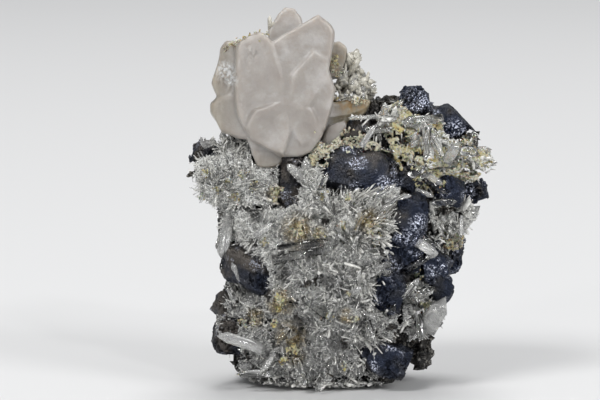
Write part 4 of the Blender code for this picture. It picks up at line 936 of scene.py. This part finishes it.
def galena_finish():
    """Lead-grey metal with a blue cast, dull brownish films and sparkling grainy patches."""
    made, tree, surface = shader("galena_metal", Metallic=0.9)
    place = in_mm(tree)
    apart = wire(tree, "ShaderNodeSeparateXYZ", {0: place}).outputs
    bluer = span(tree, apart["X"], -8.0, 22.0, -0.06, 0.16)
    films = wire(tree, "ShaderNodeMath", {0: noise_of(tree, place, 0.16, 4.0), 1: bluer}, operation="SUBTRACT")
    base = ramp(
        tree, films.outputs[0],
        (0.34, (0.021, 0.026, 0.042)), (0.50, (0.037, 0.039, 0.047)), (0.62, (0.082, 0.074, 0.067)),
    )
    cells = wire(tree, "ShaderNodeTexVoronoi", {"Vector": place, "Scale": 4.2}).outputs["Color"]
    lit = span(tree, wire(tree, "ShaderNodeSeparateColor", {0: cells}).outputs[0], 0.62, 0.9, 0.0, 1.0)
    patches = span(tree, noise_of(tree, place, 0.25, 2.0), 0.57, 0.66, 0.0, 0.8)
    sparkling = near_places(tree, place, SPARKLING)
    patches = wire(tree, "ShaderNodeMath", {0: patches, 1: sparkling}, operation="MAXIMUM").outputs[0]
    lit = wire(tree, "ShaderNodeMath", {0: lit, 1: patches}, operation="MULTIPLY").outputs[0]
    mixed = wire(tree, "ShaderNodeMix", {"Factor": lit, "A": base, "B": (0.72, 0.76, 0.90, 1.0)}, data_type="RGBA")
    tree.links.new(mixed.outputs["Result"], surface.inputs["Base Color"])
    worn = span(tree, noise_of(tree, place, 0.8, 5.0), 0.3, 0.7, 0.22, 0.5)
    tree.links.new(worn, surface.inputs["Roughness"])
    grains = glitter(tree, place, 4.2, 0.55)
    fine = noise_of(tree, place, 3.0, 6.0, 0.65)
    tree.links.new(bump(tree, fine, 0.14, grains), surface.inputs["Normal"])
    return made


def rock_finish():
    """Black to brown sulphide, broken into grains that glint."""
    made, tree, surface = shader("sulphide_rock")
    place = in_mm(tree)
    base = ramp(
        tree, noise_of(tree, place, 0.3, 6.0),
        (0.35, (0.008, 0.008, 0.008)), (0.55, (0.022, 0.019, 0.016)), (0.72, (0.060, 0.050, 0.036)),
    )
    cells = wire(tree, "ShaderNodeTexVoronoi", {"Vector": place, "Scale": 2.4}).outputs["Color"]
    lit = span(tree, wire(tree, "ShaderNodeSeparateColor", {0: cells}).outputs[0], 0.86, 0.94, 0.0, 1.0)
    mixed = wire(tree, "ShaderNodeMix", {"Factor": lit, "A": base, "B": (0.20, 0.19, 0.17, 1.0)}, data_type="RGBA")
    tree.links.new(mixed.outputs["Result"], surface.inputs["Base Color"])
    shine = span(tree, noise_of(tree, place, 1.1, 3.0), 0.35, 0.65, 0.12, 0.55)
    tree.links.new(shine, surface.inputs["Roughness"])
    grains = glitter(tree, place, 2.4, 0.9)
    tree.links.new(bump(tree, noise_of(tree, place, 2.2, 6.0), 0.5, grains), surface.inputs["Normal"])
    return made


def calcite_finish():
    """Pinkish cream calcite: light sinks in and spreads, with feathery pale veils inside."""
    made, tree, surface = shader(
        "calcite_cream", Subsurface_Weight=0.85, Subsurface_Scale=METRES_PER_MM, IOR=1.6,
        Subsurface_Radius=(5.5, 4.8, 4.2),
    )
    place = in_mm(tree)
    veils = noise_of(tree, place, 0.16, 8.0, 0.62)
    base = ramp(
        tree, veils, (0.30, (0.27, 0.243, 0.222)), (0.52, (0.32, 0.296, 0.272)), (0.68, (0.41, 0.39, 0.375)),
    )
    apart = wire(tree, "ShaderNodeSeparateXYZ", {0: place}).outputs
    slope = span(tree, apart["Z"], 56.5, 61.5, 3.2, 0.0)
    shifted = wire(tree, "ShaderNodeMath", {0: apart["X"], 1: slope}, operation="ADD").outputs[0]
    right = span(tree, shifted, BROWN_FROM, BROWN_FROM + 1.2, 0.0, 1.0)
    behind = span(tree, apart["Y"], BROWN_BEHIND, BROWN_BEHIND + 0.8, 0.0, 1.0)
    faint = span(tree, apart["Z"], 68.0, 72.0, 1.0, 0.5)
    right = wire(tree, "ShaderNodeMath", {0: right, 1: behind}, operation="MULTIPLY").outputs[0]
    right = wire(tree, "ShaderNodeMath", {0: right, 1: faint}, operation="MULTIPLY").outputs[0]
    left = span(tree, apart["X"], BROWN_LEFT, BROWN_LEFT + 8.0, 0.6, 0.0)
    low = span(tree, apart["Z"], BROWN_LOW - 6.0, BROWN_LOW, 0.5, 0.0)
    stain = wire(tree, "ShaderNodeMath", {0: right, 1: left}, operation="MAXIMUM").outputs[0]
    stain = wire(tree, "ShaderNodeMath", {0: stain, 1: low}, operation="MAXIMUM").outputs[0]
    streaks = wire(tree, "ShaderNodeVectorMath", {0: place, 1: (1.6, 1.6, 0.35)}, operation="MULTIPLY").outputs[0]
    brown = ramp(tree, noise_of(tree, streaks, 0.6, 4.0), (0.3, (0.16, 0.13, 0.08)), (0.7, (0.32, 0.29, 0.22)))
    mixed = wire(tree, "ShaderNodeMix", {"Factor": stain, "A": base, "B": brown}, data_type="RGBA")
    rusty = span(tree, noise_of(tree, place, 0.9, 4.0), 0.40, 0.60, 0.0, 0.75)
    rusty = wire(tree, "ShaderNodeMath", {0: rusty, 1: behind}, operation="MULTIPLY").outputs[0]
    rust = wire(tree, "ShaderNodeMath", {0: near_places(tree, place, RUSTY), 1: rusty}, operation="MULTIPLY")
    mixed = wire(
        tree, "ShaderNodeMix",
        {"Factor": rust.outputs[0], "A": mixed.outputs["Result"], "B": (0.30, 0.17, 0.045, 1.0)},
        data_type="RGBA",
    )
    frosted = span(tree, noise_of(tree, place, 1.3, 4.0), 0.40, 0.60, 0.0, 0.9)
    frost = wire(tree, "ShaderNodeMath", {0: near_places(tree, place, FROSTED), 1: frosted}, operation="MULTIPLY")
    mixed = wire(
        tree, "ShaderNodeMix",
        {"Factor": frost.outputs[0], "A": mixed.outputs["Result"], "B": (0.62, 0.63, 0.63, 1.0)},
        data_type="RGBA",
    )
    tree.links.new(mixed.outputs["Result"], surface.inputs["Base Color"])
    gloss = span(tree, noise_of(tree, place, 0.5, 4.0), 0.3, 0.7, 0.28, 0.48)
    tree.links.new(gloss, surface.inputs["Roughness"])
    tree.links.new(bump(tree, noise_of(tree, place, 1.2, 5.0), 0.12), surface.inputs["Normal"])
    return made


def crust_finish():
    """Matte cream to yellow carbonate, with painted shade in dark spots that stand for pits."""
    made, tree, surface = shader("crust_cream", Subsurface_Weight=0.2, Subsurface_Scale=METRES_PER_MM * 0.5)
    place = in_mm(tree)
    base = ramp(
        tree, noise_of(tree, place, 0.45, 5.0),
        (0.30, (0.47, 0.37, 0.12)), (0.44, (0.46, 0.42, 0.25)), (0.60, (0.53, 0.51, 0.41)),
    )
    faded = wire(tree, "ShaderNodeMath", {0: near_places(tree, place, FADED), 1: 0.75}, operation="MULTIPLY")
    mixed = wire(
        tree, "ShaderNodeMix", {"Factor": faded.outputs[0], "A": base, "B": (0.50, 0.48, 0.385, 1.0)},
        data_type="RGBA",
    )
    # painted shade: the colour is darkened in noise spots, as if they were shadowed pits
    pit_shade = span(tree, noise_of(tree, place, 1.7, 3.0), 0.38, 0.46, 0.22, 1.0)
    pit_shaded = wire(tree, "ShaderNodeVectorMath", {0: mixed.outputs["Result"], "Scale": pit_shade}, operation="SCALE").outputs[0]
    tree.links.new(pit_shaded, surface.inputs["Base Color"])
    surface.inputs["Roughness"].default_value = 0.7
    tree.links.new(bump(tree, noise_of(tree, place, 4.0, 6.0), 0.3), surface.inputs["Normal"])
    return made


# Floor, lights and camera

def stage():
    """A wide pale floor under a soft sky."""
    mesh = bpy.data.meshes.new("floor")
    size = 6.0
    corners = [(-size, -size, 0), (size, -size, 0), (size, size, 0), (-size, size, 0)]
    mesh.from_pydata(corners, [], [(0, 1, 2, 3)])
    floor = bpy.data.objects.new("floor", mesh)
    bpy.context.scene.collection.objects.link(floor)
    finish, _, surface = shader("floor_paper", Roughness=0.7)
    surface.inputs["Base Color"].default_value = (0.62, 0.62, 0.62, 1.0)
    mesh.materials.append(finish)
    world = bpy.data.worlds.new("sky")
    bpy.context.scene.world = world
    world.use_nodes = True
    sky = world.node_tree.nodes["Background"]
    sky.inputs["Color"].default_value = (0.80, 0.82, 0.85, 1.0)
    sky.inputs["Strength"].default_value = 0.32


def light(name, place, size, watts):
    """A square soft light that looks at the middle of the specimen."""
    lamp = bpy.data.lights.new(name, "AREA")
    lamp.shape = "SQUARE"
    lamp.size = size
    lamp.energy = watts
    holder = bpy.data.objects.new(name, lamp)
    bpy.context.scene.collection.objects.link(holder)
    holder.location = place
    aim = Vector((0.0, 0.0, 0.045)) - Vector(place)
    holder.rotation_mode = "QUATERNION"
    holder.rotation_quaternion = aim.to_track_quat("-Z", "Y")


def lights():
    light("key", (-1.35, -1.65, 2.25), 0.90, 50.0)
    light("fill", (1.95, -1.50, 1.20), 0.90, 32.0)
    light("top", (0.15, 0.75, 2.60), 1.20, 42.0)
    light("glint_left", (-1.50, -2.25, 0.45), 0.22, 12.0)
    light("glint_right", (1.20, -2.40, 1.65), 0.22, 12.0)


def camera():
    """A long lens at the photograph's angle, looking down a little."""
    distance = 0.9
    target = Vector((-10.27, 0.0, 43.35)) * METRES_PER_MM
    back = Vector((0.0, -math.cos(VIEW_TILT), math.sin(VIEW_TILT)))
    data = bpy.data.cameras.new("camera")
    data.sensor_width = 36.0
    data.lens = 229.0
    data.clip_start = 0.05
    data.clip_end = 20.0
    holder = bpy.data.objects.new("camera", data)
    bpy.context.scene.collection.objects.link(holder)
    holder.location = target + back * distance
    holder.rotation_mode = "QUATERNION"
    holder.rotation_quaternion = (-back).to_track_quat("-Z", "Y")
    bpy.context.scene.camera = holder


def render_look():
    """Enough bounces for light to cross many needles, and plain colours."""
    scene = bpy.context.scene
    scene.cycles.max_bounces = 24
    scene.cycles.transmission_bounces = 24
    scene.cycles.glossy_bounces = 6
    scene.cycles.diffuse_bounces = 4
    scene.cycles.use_denoising = True
    scene.view_settings.view_transform = "Standard"


def galena_pieces(finish):
    """Each galena node with softened edges and uneven faces."""
    for name in sorted(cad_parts):
        if not name.startswith("galena"):
            continue
        voxel = GALENA_VOXEL * (1.5 if "back" in name else 1.0)
        mesh = fine_skin(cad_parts[name].data.copy(), voxel, 34 if name == "galena_crown" else 1)
        points = points_of(mesh)
        normals = normals_of(mesh)
        steps = np.array([noise.noise(Vector(point) * 0.2) for point in points])
        broken = np.array([noise.noise(Vector(point) * 0.16 + Vector((50, 0, 0))) for point in points])
        broken = np.clip(broken / 0.2 + 0.15, 0.06, 1)
        grains = grainy(points, normals, 0.7, 0.7, 0.34, 40)
        lift = np.floor(steps * 8) * 0.12 + grains * broken + 0.15 - DRAWN_IN.get(name, 0.0)
        points = points + normals * lift[:, None]
        across, height = CROWN_PEAK
        limit = height - CROWN_FALL * np.maximum(points[:, 0] - across, 0.0)
        over = np.maximum(points[:, 2] - limit, 0.0) * (points[:, 0] > CROWN_RIGHT) * (name == "galena_crown")
        points[:, 2] -= over * 0.75
        set_points(mesh, points)
        mesh = thinned(mesh, 0.45)
        mesh.materials.append(finish)
        piece_of(name + "_crystal", mesh, (name,))


def thinned(mesh, share):
    """A mesh with a share of its triangles, fewest where it is flat."""
    holder = bpy.data.objects.new("holder", mesh)
    bpy.context.scene.collection.objects.link(holder)
    fewer = holder.modifiers.new("fewer", "DECIMATE")
    fewer.ratio = share
    depsgraph = bpy.context.evaluated_depsgraph_get()
    made = bpy.data.meshes.new_from_object(holder.evaluated_get(depsgraph))
    bpy.data.objects.remove(holder)
    made.materials.clear()
    return made


def rock_piece(finish):
    """The rock with a broken, grainy skin."""
    whole = bmesh.new()
    whole.from_mesh(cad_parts["sulphide_matrix"].data)
    whole.from_mesh(hulls_mesh("knobs", knob_clouds()))
    mesh = bpy.data.meshes.new("rock")
    whole.to_mesh(mesh)
    whole.free()
    mesh = fine_skin(mesh, ROCK_VOXEL, 1)
    points = points_of(mesh)
    normals = normals_of(mesh)
    lift = grainy(points, normals, 0.02, 0.45, 0.9, 7)
    lift += grainy(points, normals, 0.35, 0.8, 0.4, 8)
    lift += np.array([noise.noise(Vector(point) * 0.12) for point in points]) * 0.8
    lift -= np.clip((points[:, 2] - 63.0) / 4.0, 0, 1) * 1.8
    lift[points[:, 2] < 1.2] = 0.0
    set_points(mesh, points + normals * lift[:, None])
    mesh = thinned(mesh, 0.65)
    mesh.materials.append(finish)
    piece_of("sulphide_matrix_rock", mesh, ("sulphide_matrix",))


def knob_clouds():
    """Points around the small blocky crystals that stand out of the rock."""
    draw = random.Random(17)
    clouds = []
    for across, up, depth, reach in ROCK_KNOBS:
        middle = seen(across, up, depth)
        for _ in range(5):
            place = middle + Vector([draw.gauss(0, reach * 0.35) for _ in range(3)])
            cloud = []
            for _ in range(12):
                way = Vector([draw.gauss(0, 1) for _ in range(3)]).normalized()
                cloud.append(place + way * reach * 0.6)
            clouds.append(cloud)
    return clouds


def blade_points(blade):
    """The points around one blade: rounded rims to its front, which leans, and a smaller back."""
    outline, front, back, (lean_across, lean_up) = blade
    middle = sum((Vector(point) for point in outline), Vector((0, 0))) / len(outline)
    points = []
    for share, behind in BLADE_RIM:
        for point in outline:
            edge = middle + (Vector(point) - middle) * share
            lean = (edge.x - middle.x) * lean_across + (edge.y - middle.y) * lean_up
            points.append(seen(edge.x, edge.y, front + behind * math.copysign(1, back - front) + lean))
    for point in outline:
        edge = middle + (Vector(point) - middle) * BLADE_BACK
        points.append(seen(edge.x, edge.y, back))
    return points


def hulls_mesh(name, clouds):
    """One mesh that holds the closed convex body around each cloud of points."""
    whole = bmesh.new()
    for cloud in clouds:
        verts = [whole.verts.new(point * METRES_PER_MM) for point in cloud]
        hull = bmesh.ops.convex_hull(whole, input=verts)
        spare = [item for item in hull["geom_interior"] if isinstance(item, bmesh.types.BMVert)]
        bmesh.ops.delete(whole, geom=spare, context="VERTS")
    bmesh.ops.recalc_face_normals(whole, faces=whole.faces[:])
    mesh = bpy.data.meshes.new(name)
    whole.to_mesh(mesh)
    whole.free()
    return mesh


def calcite_piece(finish):
    """The blades grown into one another, with faces that are a little uneven."""
    mesh = fine_skin(hulls_mesh("blades", [blade_points(blade) for blade in CALCITE_BLADES]), CALCITE_VOXEL, 6)
    points = points_of(mesh)
    normals = normals_of(mesh)
    lift = np.array([
        noise.noise(Vector(point) * 0.14) * 0.45 + noise.noise(Vector(point) * 0.5) * 0.10 for point in points
    ])
    for across, up, reach in ETCHED:
        away = np.hypot(points[:, 0] - across, points[:, 2] - up)
        lift += grainy(points, normals, 1.2, 0.5, 0.3, 61) * np.clip((reach - away) / 1.5, 0, 1)
    set_points(mesh, points + normals * lift[:, None])
    mesh = thinned(mesh, 0.55)
    mesh.materials.append(finish)
    mesh.shade_smooth()
    piece_of("calcite_blades", mesh, ("calcite_rosette",))


def ragged_sheet(mesh, rock, sink, edge, seed):
    """A thin skin over a solid, torn into lobes and holes."""
    mesh = fine_skin(mesh, CRUST_VOXEL, 2)
    points = points_of(mesh)
    normals = normals_of(mesh)
    shift = Vector((seed, 0, 0))
    torn = np.array([
        noise.noise(Vector(point) * 0.28 + shift) + noise.noise(Vector(point) * 0.8 + shift) * 0.6
        + noise.noise(Vector(point) * 1.9 + shift) * 0.45
        for point in points
    ])
    wavy = np.array([
        noise.noise(Vector(point) * 0.5 - shift) * 0.35 + noise.noise(Vector(point) * 1.4 - shift) * 0.22
        for point in points
    ])
    torn -= np.clip((points[:, 1] - points[:, 1].max() + 6.0) / 6.0, 0, 1) * 0.8
    kept = (torn > edge) & open_air(rock, points, 0.4)
    wavy += grainy(points, normals, 4.0, 0.7, 0.22, seed)
    set_points(mesh, points + normals * (wavy - sink)[:, None])
    whole = bmesh.new()
    whole.from_mesh(mesh)
    whole.verts.ensure_lookup_table()
    gone = [vert for vert in whole.verts if not kept[vert.index]]
    bmesh.ops.delete(whole, geom=gone, context="VERTS")
    whole.to_mesh(mesh)
    whole.free()
    return thickened(mesh)


def thickened(mesh):
    """An open sheet given its thickness and rounded edges."""
    holder = bpy.data.objects.new("holder", mesh)
    bpy.context.scene.collection.objects.link(holder)
    wall = holder.modifiers.new("wall", "SOLIDIFY")
    wall.thickness = CRUST_THICK * METRES_PER_MM
    wall.offset = -0.4
    ease = holder.modifiers.new("ease", "SMOOTH")
    ease.factor = 0.5
    ease.iterations = 3
    depsgraph = bpy.context.evaluated_depsgraph_get()
    made = bpy.data.meshes.new_from_object(holder.evaluated_get(depsgraph))
    bpy.data.objects.remove(holder)
    made.materials.clear()
    return made


def crust_pieces(finish, kinds):
    """The ragged carbonate sheets, the sheet under the crown's quartz, and the spots among the needles."""
    rock = surface_of("sulphide_matrix")
    grown = np.random.RandomState(77)
    small = []
    for number, name in enumerate(("crust_crown", "crust_heart", "crust_flank")):
        edge = TORN_EDGE.get(name, -0.34)
        mesh = ragged_sheet(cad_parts[name].data.copy(), rock, 0.0, edge, 10 + number)
        mesh.materials.append(finish)
        piece_of(name + "_skin", mesh, (name,))
        small.append(ground_group(mesh, rock, CRUST_NEEDLES, 1.0, grown))
    piece_of("quartz_on_crust", crystals_mesh("quartz_on_crust", small, kinds, grown))
    for number, name in enumerate(("quartz_crown", "quartz_bridge")):
        mesh = ragged_sheet(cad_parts[name].data.copy(), rock, 0.5, -0.16, 20 + number)
        mesh.materials.append(finish)
        piece_of("crust_under_" + name, mesh)
    skin = surface_of(*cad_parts)
    draw = random.Random(31)
    clouds = []
    spots = [(*spot, None) for spot in CRUST_SPOTS] + list(RIM_GRAINS)
    for across, up, width, depth in spots:
        for _ in range(14):
            x = across + draw.gauss(0, width * 0.33)
            y = up + draw.gauss(0, width * 0.33)
            middle = seen(x, y, depth_at(skin, x, y) - 0.4 if depth is None else depth + draw.gauss(0, 0.4))
            size = width * draw.uniform(0.07, 0.19)
            clouds.append([middle + Vector([draw.gauss(0, size) for _ in range(3)]) for _ in range(9)])
    mesh = hulls_mesh("spots", clouds)
    mesh.materials.append(finish)
    piece_of("crust_spots", mesh)


stage()
lights()
camera()
render_look()
rock_piece(rock_finish())
galena_pieces(galena_finish())
calcite_piece(calcite_finish())
milky = milky_quartz("quartz_milky", (0.80, 0.79, 0.75), (0.95, 0.945, 0.91))
pale = milky_quartz("quartz_pale", (0.60, 0.575, 0.50), (0.84, 0.81, 0.72))
kinds = [clear_quartz("quartz_clear", 1.0), milky, clear_quartz("quartz_hazy", 0.8)]
crust_pieces(crust_finish(), kinds)
quartz_pieces(kinds, pale, felted_quartz(), rock_finish())
